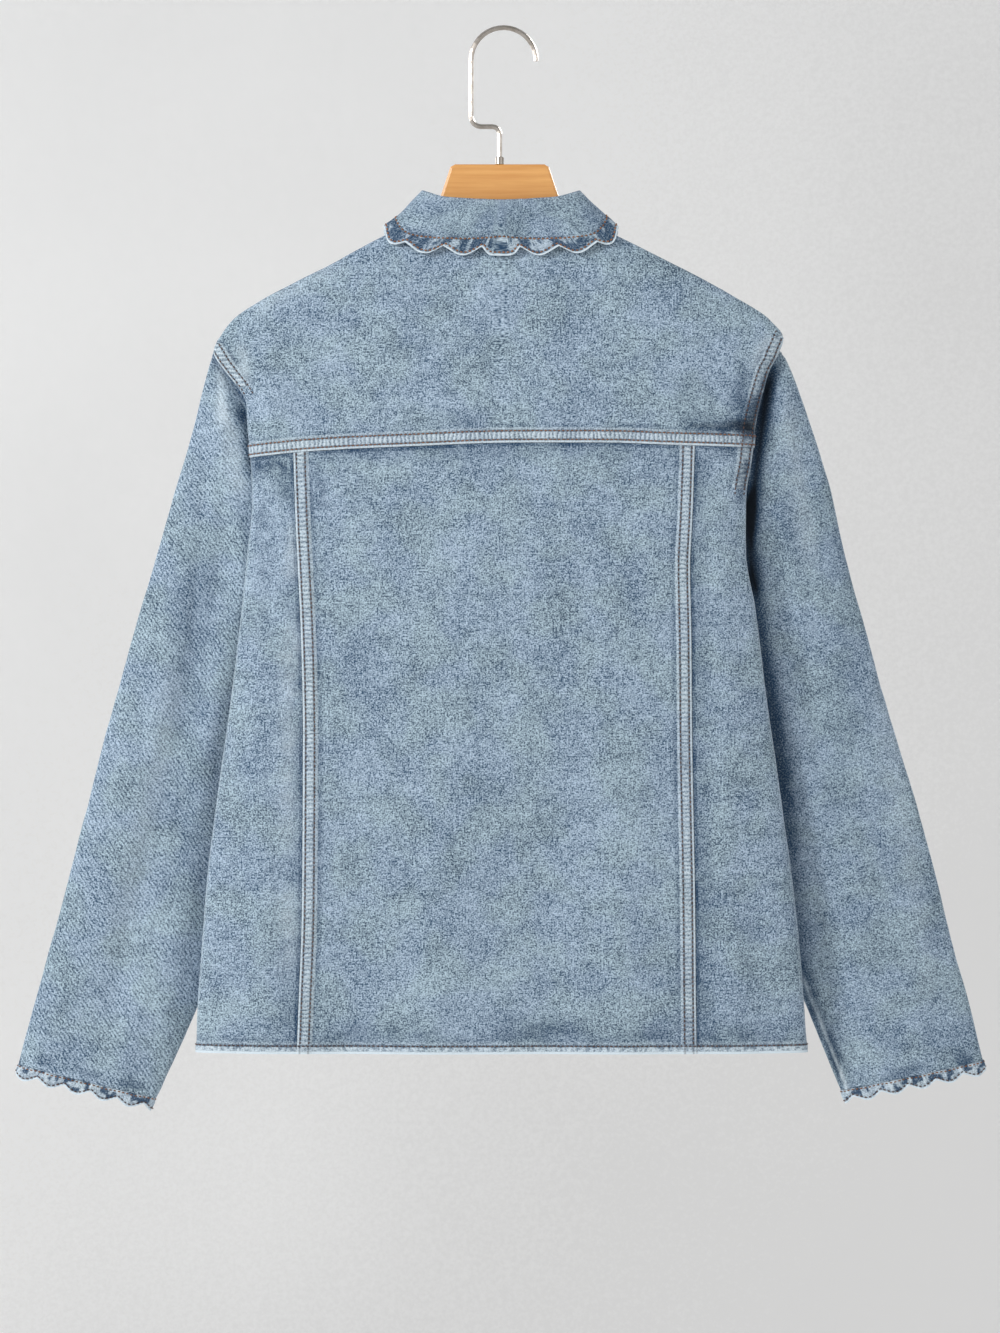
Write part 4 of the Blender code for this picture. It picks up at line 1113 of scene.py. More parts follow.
def make_sleeve(side):
    edge, out, turns = armhole_ring(side, SLEEVE_POINTS)
    inward = unit(np.cross(out, np.roll(edge, -1, axis=0) - np.roll(edge, 1, axis=0)))
    if np.dot(inward[0], (0, 0, -1)) < 0:
        inward = -inward
    roll = np.linspace(0, 1, HEAD_ROWS)[:, None, None]
    head = edge + inward * (ARMHOLE_GAP + 2.1 * roll) + out * (2.4 * roll**1.6)
    along = np.concatenate([np.linspace(0.004, 0.03, 4), np.linspace(0.035, 1.0, 176)])[:, None]
    turn = turns[None, :]
    plain = sleeve_point(side, turn, np.maximum(along, 0.03))
    joined = looked_up(SLEEVE, "join", along)[..., None]
    base = np.concatenate([head, head[-1] * (1 - joined) + plain * joined])
    normals = grid_normals(base, base - base.mean(axis=1, keepdims=True), closed=True)
    normals[0] = out
    down = lengths_along(base)
    around = np.minimum(turn, 2 * math.pi - turn) / math.pi * HALF_ROUND + 0 * down
    facing = normals[..., 1] < 0.15
    fade = eased(down / 14)
    seam_turn = 1 + (UNDERARM_TURN[side] - 1) * eased((down - 120) / 160)
    under = np.abs(turn / math.pi - seam_turn) * HALF_ROUND
    from_cuff = (1.0 - np.concatenate([np.zeros((HEAD_ROWS, 1)), along])) * SLEEVE_LENGTH + 0 * around
    from_fold = np.abs(np.sin(turn)) * HALF_WIDTH + 0 * down
    seed = 90 if side == "left" else 95
    relief = creased(base, SLEEVE_CREASES) * np.where(facing, 1.0, 0.5) * fade
    relief += 1.3 * cloth_waves(around, down, 13 if side == "left" else 14) * fade
    relief += 0.6 * under_seam_relief(down, around, seed) + under_seam_relief(under, down, seed + 2)
    relief += under_seam_relief(from_cuff, around, seed + 4)
    relief += 0.6 * bump(under, 1.6)
    wear = bump(under, 2.4) * (0.75 + 0.35 * wander(down, under, 5.0, 5.0, seed + 6))
    wear = np.maximum(wear, 0.40 * bump(from_fold, 4.0))
    unwashed = eased(0.35 + 1.1 * wander(down, under, 12.0, 12.0, seed + 7))
    stained = bump(np.maximum(from_cuff - 3.0, 0), 8.0)
    stained = stained * eased(1.6 * wander(around, from_cuff, 8.0, 9.0, seed + 8))
    dark = np.maximum(bump(under - 4.0, 4.0) * unwashed * 0.7, 0.8 * stained)
    # The beside mark darkens the sleeve just below the armhole: darker indigo and painted shadow under the
    # body's edge.
    marks = {"wear": wear, "dark": dark, "beside": down}
    # Painted shade, highlight and gap shadow from the sleeves' shade table, mostly on the side facing the back.
    marks = shaded(base, SLEEVE_SHADES, marks, seed + 9, np.where(facing, 1.0, 0.2), 0.4)
    place = sleeve_place(side, base, turns)
    rests_on = ["back_yoke", f"front_{side}"]
    cloth(f"sleeve_{side}", base, normals, relief, place, marks, (0.44, 0.56), rests_on, 0.137, closed=True)


def scallop(part):
    """How far a scalloped edge reaches, 0 in a notch and 1 at the bottom of a scallop."""
    round_one = 1 - np.abs(2 * (part % 1) - 1) ** 2.2
    wave = 0.5 - 0.5 * np.cos(2 * math.pi * part)
    return 0.45 * round_one + 0.55 * wave


def make_cuff(side):
    """The scalloped band at the end of a sleeve."""
    count = CUFF_SCALLOPS * CUFF_POINTS_PER_SCALLOP
    fine = np.linspace(0, 2 * math.pi, 721)
    lengths = lengths_along(sleeve_point(side, fine, np.ones(len(fine))))
    wanted = np.linspace(0, lengths[-1], count + 1)[:-1]
    turns = np.interp(wanted, lengths, fine)
    base = sleeve_point(side, turns, np.ones(count))
    down = unit(base - sleeve_point(side, turns, np.full(count, 0.985)))
    reach = CUFF_HEIGHT - CUFF_SCALLOP_DEPTH * (1 - scallop(np.arange(count) / CUFF_POINTS_PER_SCALLOP))
    levels = np.linspace(0, 1, 16)[:, None]
    away = SEAM_GAP + (reach - SEAM_GAP) * levels
    points = base + down * away[..., None]
    out = unit(np.cross(np.roll(base, -1, axis=0) - np.roll(base, 1, axis=0), down))
    if (out * (base - base.mean(axis=0))).sum() < 0:
        out = -out
    seed = 101 if side == "left" else 104
    from_edge = reach - away
    around = wanted + 0 * away
    gather = wander(around, away, 2.6, 9.0, seed)
    gather[:, -CUFF_POINTS_PER_SCALLOP:] *= np.linspace(1, 0, CUFF_POINTS_PER_SCALLOP)
    relief = 0.5 * gather + 0.5 * bump(away - 5.0, 2.5)
    relief -= 0.4 * bump(from_edge - CUFF_EDGE_SEWN, 0.6) + 0.25 * bump(away - 1.4, 0.6)
    wear = np.maximum(1.3 * eased((1.5 - from_edge) / 0.5), 0.40 + 0.45 * eased(gather * 1.5))
    dark = eased(wander(around, away, 3.0, 3.8, seed + 1) * 3.0 - 0.25) * (from_edge > 1.6)
    marks = {"wear": wear * (1 - 0.7 * dark), "dark": dark}
    place = np.stack([around, away], axis=-1)
    flat = (0.235, 0.0115)
    rests_on = [f"sleeve_{side}"]
    normals = out + 0 * points
    outer = cloth(f"cuff_{side}", points, normals, relief, place, marks, flat, rests_on, 0.0022, True)
    upper = int(np.argmin(np.abs(levels[:, 0] - 0.12)))
    found = grid_normals(outer, out + 0 * outer, closed=True)[upper]
    low = base + down * (reach - CUFF_EDGE_SEWN)[:, None] + out * 0.25
    sewn = [(closed_up(outer[upper]), closed_up(found))]
    if side == "right":
        tack = np.array([-3.8, 0.0, 0.0])
        inner = np.argmin(base[:, 0])
        for drop_by in (1.5, 9.0):
            at = base[inner] + down[inner] * drop_by + (3.5, -1.2, 0.0)
            sewn.append((np.array([at, at + 0.5 * tack, at + tack]), np.tile((0.0, -1.0, 0.0), (3, 1))))
    return sewn, [(closed_up(low), closed_up(out))]


# Collar

COLLAR_SPREAD = 210.0
STAND_HEIGHT = 26.0
BAND_TURN = 0.9375
FALL_POINTS_PER_SCALLOP = 40
FOLD_POINTS = 9
COLLAR_SEWN = 14.5
COLLAR_EDGE_SEWN = 2.5


def collar_values(names, turn):
    return looked_up(COLLAR, names, np.abs(turn))


def at_front(turn):
    """Nothing at the back of the neck and one at the front."""
    return eased((np.abs(turn) - 0.4) * 10)


def collar_point(turn, half_width, depth, drop, square):
    angle = turn * math.pi
    across = half_width * root(np.sin(angle), square)
    forward = -depth * root(np.cos(angle), square)
    return np.stack(np.broadcast_arrays(across, forward, -drop), axis=-1)


def neck_point(turn):
    """A point of the neckline, just above the panels' edges."""
    at_back = np.abs(turn) <= 0.5
    back_across = NECK_HALF_WIDTH * np.sin(turn * math.pi)
    back_drop = back_neck(back_across)
    front_across, front_drop = front_neck(np.clip(np.abs(turn) * 2 - 1, 0, None))
    over_band = eased((np.abs(turn) - BAND_TURN) / (COLLAR_END - BAND_TURN))
    front_across = np.sign(turn) * (front_across - (BAND_HALF_WIDTH - SEAM_GAP) * over_band)
    drop = np.where(at_back, back_drop, front_drop)
    arc = np.where(at_back, back_arc(back_across, drop), front_arc(front_across, drop))
    point = on_tube(arc, drop)
    point[..., 2] += NECK_GAP + NECK_GAP * at_front(turn)
    return point - NECK_INSET * unit(point * (1.0, 1.0, 0.0))


def make_collar_stand():
    turns = np.linspace(-COLLAR_END, COLLAR_END, 241)[None, :]
    up = np.linspace(0, 1, 14)[:, None]
    fold_depth, fold_drop = collar_values("fold_depth fold_drop", turns)
    depth = fold_depth - 2.6 - 1.3 * at_front(turns)
    drop = fold_drop + 2.0 + 2.4 * at_front(turns)
    top = collar_point(turns, FOLD_HALF_WIDTH - 2.6, depth, drop, FOLD_SQUARE)
    base = neck_point(turns) * (1 - up[..., None]) + top * up[..., None]
    normals = grid_normals(base, base - base.mean(axis=(0, 1)))
    around = turns * COLLAR_SPREAD + 0 * up
    high = up * STAND_HEIGHT + 0 * turns
    relief = 0.12 * wander(around, high, 9.0, 9.0, 111) - 0.12 * bump(high - 3.0, 0.8)
    place = np.stack([around, high], axis=-1)
    rests_on = ["back_yoke", "front_left", "front_right"]
    cloth("collar_stand", base, normals, relief, place, {}, (0.31, 0.026), rests_on)


def fall_points(turn, reach, part):
    """The collar's fall: part -1 to 0 is inside the fold, over it, and 0 to 1 is down to the edge."""
    fold_drop, fold_depth = collar_values("fold_drop fold_depth", turn)
    edge_drop, edge_depth = collar_values("edge_drop edge_depth", turn)
    edge_drop = edge_drop - reach
    inside = collar_point(turn, FOLD_HALF_WIDTH - 2.6, fold_depth - 2.8, fold_drop + 0.5, FOLD_SQUARE)
    crest = collar_point(turn, FOLD_HALF_WIDTH - 1.3, fold_depth - 1.3, fold_drop - 0.6, FOLD_SQUARE)
    outside = collar_point(turn, FOLD_HALF_WIDTH + 0.3, fold_depth + 0.3, fold_drop + 0.8, FOLD_SQUARE)
    down = np.clip(part, 0, 1)
    fall = collar_point(
        turn,
        FOLD_HALF_WIDTH + 0.3 + (EDGE_HALF_WIDTH - FOLD_HALF_WIDTH - 0.3) * down,
        fold_depth + 0.5 + (edge_depth - fold_depth - 0.5) * down,
        fold_drop + 0.8 + (edge_drop - fold_drop - 0.8) * down,
        FOLD_SQUARE + (EDGE_SQUARE - FOLD_SQUARE) * down,
    )
    over = np.clip(part + 1, 0, 1)[..., None]
    bend = inside * (1 - over) ** 2 + 2 * crest * over * (1 - over) + outside * over**2
    crown = np.array([0.0, 0.0, 0.5]) * 4 * over * (1 - over)
    return np.where(part[..., None] < 0, bend + crown, fall)


def make_collar_fall():
    fine = np.linspace(-COLLAR_END, COLLAR_END, 961)
    lengths = lengths_along(fall_points(fine, 0.0, np.ones(len(fine))))
    count = COLLAR_SCALLOPS * FALL_POINTS_PER_SCALLOP + 1
    wanted = np.linspace(0, lengths[-1], count)
    turns = np.interp(wanted, lengths, fine)
    at_side = bump(np.abs(turns) - 0.5, 0.05)
    scallops = scallop(np.arange(count) / FALL_POINTS_PER_SCALLOP)
    reach = (COLLAR_SCALLOP_DEPTH * (1 - scallops) * (1 - 0.75 * at_side))[None, :]
    fall = [np.linspace(0, 0.55, 22)[:-1], np.linspace(0.55, 1, 34)]
    grid = np.concatenate([np.linspace(-1, -0.1, FOLD_POINTS), *fall])[:, None]
    points = fall_points(turns[None, :] + 0 * grid, reach * eased((grid - 0.4) / 0.6), grid + 0 * turns)
    down = lengths_along(points)
    from_edge = down[-1] - down
    from_line = from_edge + reach
    outward = points * (1.0, 1.0, 0.0) + (0.0, 0.0, 40.0)
    normals = grid_normals(points, outward)
    around = wanted[None, :] + 0 * grid
    above_band = np.maximum(from_line - COLLAR_SEWN, 0)
    band = eased((COLLAR_SEWN + 0.6 - from_line) / 1.6)
    gather = wander(around, from_edge, 3.1, 10.0, 121) + 0.5 * wander(around, from_edge, 1.9, 7.0, 122)
    relief = band * (0.4 * gather + 0.35)
    relief -= 0.4 * bump(from_line - COLLAR_SEWN, 0.8) + 0.35 * bump(from_edge - COLLAR_EDGE_SEWN, 0.8)
    relief += 0.35 * wander(around, from_line, 4.4, 14.0, 123) * bump(above_band, 7.0)
    relief += 0.7 * wander(around, down, 34.0, 24.0, 124) * eased(grid * 2)
    relief += 0.15 * wander(around, down, 8.0, 8.0, 125)
    blots = wander(around, from_edge, 3.6, 6.5, 128) + 0.6 * wander(around, from_edge, 1.8, 3.0, 129)
    wear = np.maximum(1.3 * eased((1.4 - from_edge) / 0.6), 0.42 * band * eased(blots * 1.3 - 0.1))
    patchy = 0.6 + 0.4 * wander(around, down, 9.0, 4.0, 126)
    wear = np.maximum(wear, 0.3 * bump(grid * 14 + 0.5, 1.2) * patchy)
    dark = 0.90 * band * eased(0.66 - blots * 0.95) * (from_edge > 1.7)
    above = bump(above_band, 4.0) * (1 - band)
    dark = np.maximum(dark, 0.75 * above * eased(0.5 + wander(around, down, 6.0, 5.0, 127)))
    mottles = wander(around, down, 9.0, 16.0, 130) + 0.6 * wander(around, down, 3.6, 5.0, 131)
    dark = np.maximum(dark, 0.16 + 0.14 * mottles) * (from_edge > 1.7)
    place = np.stack([around, down], axis=-1)
    marks = {"wear": wear, "dark": dark}
    outer = cloth("collar_fall", points, normals, relief, place, marks, (0.47, 0.047), ["collar_stand"])
    found = grid_normals(outer, outward)
    index = np.arange(count)
    threads = []
    for level, measure in ((COLLAR_SEWN, from_line), (COLLAR_EDGE_SEWN, from_edge)):
        nearest = np.argmin(np.abs(measure[FOLD_POINTS:] - level), axis=0) + FOLD_POINTS
        low = np.clip(nearest, 1, len(grid) - 2)
        first = measure[low - 1, index]
        last = measure[low + 1, index]
        share = np.clip((first - level) / (first - last), 0, 1)[:, None]
        path = outer[low - 1, index] * (1 - share) + outer[low + 1, index] * share
        threads.append((path, found[low, index]))
    return threads


# Small parts

BUTTON_STEPS = 48
BUTTON = table(
    "radius height",
    # half a profile, from the back of the button to the middle of its face
    (0.01, -1.5),
    (7.2, -1.5),
    (8.1, -1.2),
    (8.5, -0.5),
    (8.5, 0.4),
    (8.2, 1),
    (7.5, 1.35),
    (6.9, 1.3),
    (6.4, 0.9),
    (5.9, 0.75),
    (4, 0.95),
    (2, 1.1),
    (0.9, 1.12),
    (0.7, 0.95),
    (0.01, 0.9),
)


def make_button(name, finish):
    """A button turned from its profile about a forward axis, in place of the plain one."""
    low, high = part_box(name)
    centre = (Vector(low) + Vector(high)) / 2 / MM
    angles = np.linspace(0, 2 * math.pi, BUTTON_STEPS + 1)[:-1]
    points = []
    for radius, height in zip(*BUTTON.values()):
        for angle in angles:
            points.append((radius * math.cos(angle), height, radius * math.sin(angle)))
    rings = np.arange(len(points)).reshape(-1, BUTTON_STEPS)
    faces = []
    for ring in range(len(rings) - 1):
        for step in range(BUTTON_STEPS):
            a = ring * BUTTON_STEPS + step
            b = ring * BUTTON_STEPS + (step + 1) % BUTTON_STEPS
            faces.append((a, a + BUTTON_STEPS, b + BUTTON_STEPS, b))
    faces += [tuple(rings[0].tolist()), tuple(rings[-1][::-1].tolist())]
    made = added(name, (np.array(points) + centre) * MM, faces, "_metal")
    shape = bmesh.new()
    shape.from_mesh(made.data)
    bmesh.ops.recalc_face_normals(shape, faces=shape.faces)
    shape.to_mesh(made.data)
    shape.free()
    made.data.set_sharp_from_angle(angle=math.radians(40))
    made.data.materials.append(finish)
    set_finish(made, "nickel")
    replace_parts(made, name)


def make_hanger(wood, nickel):
    for node, finish in (("hanger_wood", wood), ("hanger_ferrule", nickel), ("hanger_hook", nickel)):
        shown = frame["nodes"][node]
        shown.data.materials.clear()
        shown.data.materials.append(finish)


# Finishes. The bump, the twill and the rungs are in metres, as the cloth's own map is.

BUMP_DISTANCE = 0.0004
TWILL_ANGLE = math.radians(49.5)
TWILL_PITCH = 0.00275
RUNG_PITCH = 0.0033
DENIM_LILAC = (0.474, 0.590, 0.721)
DENIM_GREEN = (0.476, 0.609, 0.700)
DENIM_BLUE = (0.034, 0.078, 0.137)
DENIM_GREY = (0.048, 0.081, 0.124)
DENIM_WORN_AND_HIGHLIGHT = (0.68, 0.78, 0.85)
DENIM_DEEP = (0.022, 0.055, 0.110)
# Near black, for the painted shadow in a deep gap
GAP_SHADE = (0.006, 0.009, 0.014)
THREAD_SHADE = (0.050, 0.048, 0.060)
PROFILE_REACH = 16.0

# What the cloth looks like by its distance from an edge: how worn and how dark it is, the dark being darker
# dye and painted shade beside raised edges and rows, how much of the ladder of puckers it has, and how much
# of the thread's colour, which is partly painted shadow of the threads.
PROFILE = "away wear dark ladder sewn"
SIDE_LAP_PROFILE = table(
    PROFILE,
    (0, 0.70, 0, 0, 0),
    (1.1, 0.85, 0, 0, 0),
    (1.6, 0.25, 0.2, 0, 0.3),
    (2.2, 0, 0.3, 0.1, 0.5),
    (2.8, 0.1, 0.2, 0.4, 0.2),
    (3.3, 0.15, 0, 1, 0),
    (7.6, 0.15, 0, 1, 0),
    (8.2, 0.1, 0.2, 0.5, 0.4),
    (8.9, 0, 0.3, 0.1, 0.5),
    (9.5, 0.2, 0.1, 0, 0.2),
    (10.1, 0.40, 0, 0, 0),
    (11, 0.35, 0, 0, 0),
    (11.9, 0, 0.60, 0, 0),
    (13.6, 0, 0.50, 0, 0),
    (16, 0, 0, 0, 0),
)
LEVEL_LAP_PROFILE = table(
    PROFILE,
    (0, 0.85, 0, 0, 0),
    (1.2, 0.85, 0, 0, 0),
    (1.7, 0.2, 0.2, 0.1, 0.4),
    (2.3, 0, 0.3, 0.2, 0.5),
    (2.9, 0.1, 0.1, 0.6, 0.3),
    (3.4, 0.2, 0, 1, 0),
    (7.7, 0.2, 0, 1, 0),
    (8.3, 0.1, 0.2, 0.5, 0.4),
    (8.9, 0, 0.3, 0.1, 0.5),
    (9.6, 0.15, 0.1, 0, 0.3),
    (10.6, 0.35, 0, 0, 0),
    (12.2, 0, 0.40, 0, 0),
    (14.5, 0, 0.20, 0, 0),
    (16, 0, 0, 0, 0),
)
HEM_PROFILE = table(
    PROFILE,
    (0, 1.60, 0, 0, 0),
    (1.4, 1.50, 0, 0, 0),
    (2, 0.40, 0, 0.9, 0),
    (4.9, 0.2, 0, 1, 0),
    (5.4, 0.05, 0.3, 0.5, 0.4),
    (6, 0, 0.4, 0.1, 0.6),
    (6.7, 0.05, 0.4, 0, 0.3),
    (7.6, 0.25, 0.2, 0, 0),
    (10, 0, 0.45, 0, 0),
    (16, 0, 0, 0, 0),
)
# Darker cloth beside a neighbour's raised edge: darker indigo in the crevice and painted shadow under the edge.
BESIDE_PROFILE = table(
    PROFILE,
    (0, 0, 1, 0, 0),
    (2, 0, 0.95, 0, 0),
    (3.2, 0, 0.45, 0, 0),
    (7, 0, 0.28, 0, 0),
    (16, 0, 0, 0, 0),
)


def new_material(name):
    made = bpy.data.materials.new(name)
    made.use_nodes = True
    return made, made.node_tree, made.node_tree.nodes["Principled BSDF"]


def object_place(tree):
    return tree.nodes.new("ShaderNodeTexCoord").outputs["Object"]


def give(tree, socket, value):
    """Gives a socket a number, or a colour, or the value of another socket."""
    if isinstance(value, bpy.types.NodeSocket):
        tree.links.new(value, socket)
    elif isinstance(value, tuple):
        socket.default_value = (*value, 1.0)
    else:
        socket.default_value = value


def noise(tree, where, scale, detail=2.0, roughness=0.5, stretch=(1.0, 1.0, 1.0)):
    mapping = tree.nodes.new("ShaderNodeMapping")
    mapping.inputs["Scale"].default_value = stretch
    tree.links.new(where, mapping.inputs["Vector"])
    texture = tree.nodes.new("ShaderNodeTexNoise")
    tree.links.new(mapping.outputs["Vector"], texture.inputs["Vector"])
    for socket, number in (("Scale", scale), ("Detail", detail), ("Roughness", roughness)):
        texture.inputs[socket].default_value = number
    return texture.outputs["Fac"]


def ramp(tree, value, low, high, to_low=0.0, to_high=1.0):
    spread_out = tree.nodes.new("ShaderNodeMapRange")
    for socket, number in (("From Min", low), ("From Max", high), ("To Min", to_low), ("To Max", to_high)):
        spread_out.inputs[socket].default_value = number
    tree.links.new(value, spread_out.inputs["Value"])
    return spread_out.outputs["Result"]


def calculate(tree, operation, first, *others):
    """The result of an operation on values or numbers, taken one after another."""
    for other in others:
        node = tree.nodes.new("ShaderNodeMath")
        node.operation = operation
        give(tree, node.inputs[0], first)
        give(tree, node.inputs[1], other)
        first = node.outputs["Value"]
    return first


def total(tree, *values):
    return calculate(tree, "ADD", *values)


def times(tree, *values):
    return calculate(tree, "MULTIPLY", *values)


def clamped(value):
    value.node.use_clamp = True
    return value


def largest(tree, values):
    return calculate(tree, "MAXIMUM", *values)


def mix_colour(tree, factor, first, second):
    node = tree.nodes.new("ShaderNodeMix")
    node.data_type = "RGBA"
    tree.links.new(factor, node.inputs["Factor"])
    colours = [socket for socket in node.inputs if socket.type == "RGBA"]
    give(tree, colours[0], first)
    give(tree, colours[1], second)
    return [socket for socket in node.outputs if socket.type == "RGBA"][0]


def bumped(tree, shader, height, strength):
    node = tree.nodes.new("ShaderNodeBump")
    node.inputs["Strength"].default_value = strength
    node.inputs["Distance"].default_value = BUMP_DISTANCE
    tree.links.new(height, node.inputs["Height"])
    tree.links.new(node.outputs["Normal"], shader.inputs["Normal"])


def axes_of(tree, vector):
    parts = tree.nodes.new("ShaderNodeSeparateXYZ")
    tree.links.new(vector, parts.inputs["Vector"])
    return parts.outputs


def coated(tree, shader, colour, numbers):
    """Puts a colour, and plain numbers, on the shader's own sockets."""
    tree.links.new(colour, shader.inputs["Base Color"])
    for socket, number in numbers.items():
        shader.inputs[socket].default_value = number


def attribute(tree, name):
    node = tree.nodes.new("ShaderNodeAttribute")
    node.attribute_name = name
    return node.outputs["Fac"]


def seam_profile(tree, mark, profile):
    """How worn, dark, puckered and thread-coloured the cloth is by its distance from an edge, with painted
    shade in the dark and in the thread's colour.
    """
    bands = tree.nodes.new("ShaderNodeValToRGB")
    stops = bands.color_ramp.elements
    rows = each_row(profile)
    while len(stops) < len(rows):
        stops.new(0.5)
    for stop, row in zip(stops, rows):
        stop.position = row["away"] / PROFILE_REACH
        stop.color = (row["wear"], row["dark"], row["ladder"], row["sewn"])
    tree.links.new(calculate(tree, "DIVIDE", attribute(tree, mark), PROFILE_REACH), bands.inputs["Fac"])
    parts = tree.nodes.new("ShaderNodeSeparateColor")
    tree.links.new(bands.outputs["Color"], parts.inputs["Color"])
    return parts.outputs["Red"], parts.outputs["Green"], parts.outputs["Blue"], bands.outputs["Alpha"]


def lines(tree, along, pitch, sway, amount):
    """Lines across a direction at a pitch in metres, that sway a little, between 0 and 1."""
    phase = total(tree, times(tree, along, 2 * math.pi / pitch), times(tree, sway, amount))
    return total(tree, times(tree, calculate(tree, "SINE", phase, 0.0), 0.5), 0.5)


def twill_lines(tree, where):
    """The diagonal lines of a washed twill, broken into grains."""
    leaning = tree.nodes.new("ShaderNodeVectorRotate")
    leaning.rotation_type = "Z_AXIS"
    leaning.inputs["Angle"].default_value = TWILL_ANGLE
    tree.links.new(where, leaning.inputs["Vector"])
    across = axes_of(tree, leaning.outputs["Vector"])["X"]
    twill = lines(tree, across, TWILL_PITCH, noise(tree, where, 190.0, 1.0), 4.5)
    broken = ramp(tree, noise(tree, where, 420.0, 1.0), 0.4, 0.6, 0.0, 1.5)
    return times(tree, calculate(tree, "SUBTRACT", twill, 0.5), broken)


def denim(name, middle, speckle_share, slub_share, twill_share):
    """Light-wash denim: speckled, with slubs, a diagonal twill, worn edges and dark seams, and the painted
    shade, highlight and gap shadow that the cloth's marks carry.
    """
    made, tree, shader = new_material(name)
    place = tree.nodes.new("ShaderNodeUVMap")
    place.uv_map = "cloth"
    where = place.outputs["UV"]
    speckle = noise(tree, where, 860.0, 1.0)
    grains = (
        (speckle, speckle_share),
        (noise(tree, where, 430.0, 1.0), 0.45 * speckle_share),
        (noise(tree, where, 1.0, 2.0, 0.6, (760.0, 110.0, 1.0)), slub_share),
        (noise(tree, where, 1.0, 2.0, 0.6, (110.0, 760.0, 1.0)), 0.7 * slub_share),
        (noise(tree, where, 150.0), 0.6),
        (noise(tree, where, 34.0, 3.0, 0.55), 0.6),
        (noise(tree, where, 9.0), 0.4),
    )
    shares = [times(tree, calculate(tree, "SUBTRACT", value, 0.5), share) for value, share in grains]
    if twill_share:
        shares.append(times(tree, twill_lines(tree, where), twill_share))
    grain = total(tree, *shares)
    drift = ramp(tree, noise(tree, where, 26.0), 0.42, 0.6)
    blue = mix_colour(tree, drift, DENIM_BLUE, DENIM_GREY)
    pale = mix_colour(tree, drift, DENIM_LILAC, DENIM_GREEN)
    colour = mix_colour(tree, clamped(total(tree, grain, middle)), blue, pale)

    blotches = ramp(tree, noise(tree, where, 48.0), 0.38, 0.62)
    axes = axes_of(tree, where)
    sway = noise(tree, where, 110.0)
    side_rungs = lines(tree, axes["Y"], RUNG_PITCH, sway, 7.0)
    level_rungs = lines(tree, axes["X"], RUNG_PITCH, sway, 8.0)
    hem_spots = ramp(tree, noise(tree, where, 300.0, 1.0), 0.42, 0.58)
    dye_and_shade_part = attribute(tree, "dark")
    wear_and_highlights = [attribute(tree, "wear")]
    darks = [dye_and_shade_part]
    threads = []
    rises = []
    for mark, profile, rungs, worn, stained in (
        ("lap_side", SIDE_LAP_PROFILE, side_rungs, 0.70, 0.45),
        ("lap_level", LEVEL_LAP_PROFILE, level_rungs, 0.72, 0.85),
        ("hem", HEM_PROFILE, hem_spots, 0.60, 0.75),
    ):
        wear, dark, ladder, sewn = seam_profile(tree, mark, profile)
        pale_rungs = times(tree, ladder, rungs, ramp(tree, blotches, 0.0, 1.0, worn, 0.5 * worn))
        unworn = ramp(tree, blotches, 0.0, 1.0, 0.4 * stained, stained)
        dark_rungs = times(tree, ladder, ramp(tree, rungs, 0.5, 0.0), unworn)
        wear_and_highlights.append(total(tree, times(tree, wear, ramp(tree, sway, 0.35, 0.5, 0.75, 1.0)), pale_rungs))
        darks.append(total(tree, times(tree, dark, ramp(tree, blotches, 0.0, 1.0, 0.5, 1.0)), dark_rungs))
        threads.append(sewn)
        rises.append(times(tree, ladder, rungs, 2.5))
    # Beside a neighbour's raised edge: darker indigo and painted shadow under the edge.
    beside = seam_profile(tree, "beside", BESIDE_PROFILE)[1]
    darks.append(times(tree, beside, ramp(tree, blotches, 0.0, 1.0, 0.55, 1.0)))
    # The dark part is darker dye and painted shade.
    dark_part = clamped(times(tree, largest(tree, darks), ramp(tree, speckle, 0.3, 0.66, 1.2, 0.7)))
    grained = ramp(tree, speckle, 0.32, 0.6, 0.7, 1.05)
    undarkened = ramp(tree, dye_and_shade_part, 0.0, 1.0, 1.0, 0.2)
    # The pale part is worn cloth and painted highlight, kept off the darker places.
    wear_and_highlight_part = clamped(times(tree, largest(tree, wear_and_highlights), grained, undarkened))
    colour = mix_colour(tree, dark_part, colour, DENIM_DEEP)
    colour = mix_colour(tree, wear_and_highlight_part, colour, DENIM_WORN_AND_HIGHLIGHT)
    # The thread's colour under the rows, partly painted shadow of the threads.
    colour = mix_colour(tree, clamped(largest(tree, threads)), colour, THREAD_SHADE)
    # Painted shadow in the deep gap beside the body's edge.
    colour = mix_colour(tree, attribute(tree, "gap"), colour, GAP_SHADE)
    coated(tree, shader, colour, {"Roughness": 0.92, "Specular IOR Level": 0.12, "Sheen Weight": 0.04})
    bumped(tree, shader, total(tree, grain, *rises), 0.5)
    return made


def mottled(name, scale, detail, colour, other, numbers):
    """A finish that wanders between two colours."""
    made, tree, shader = new_material(name)
    tone = ramp(tree, noise(tree, object_place(tree), scale, detail), 0.35, 0.65)
    coated(tree, shader, mix_colour(tree, tone, colour, other), numbers)
    return made


def thread(name, colour, other):
    return mottled(name, 90.0, 2.0, colour, other, {"Roughness": 0.7})


def nickel_wire():
    shiny = {"Metallic": 1.0, "Roughness": 0.24}
    return mottled("nickel_wire", 160.0, 3.0, (0.50, 0.46, 0.42), (0.36, 0.32, 0.28), shiny)


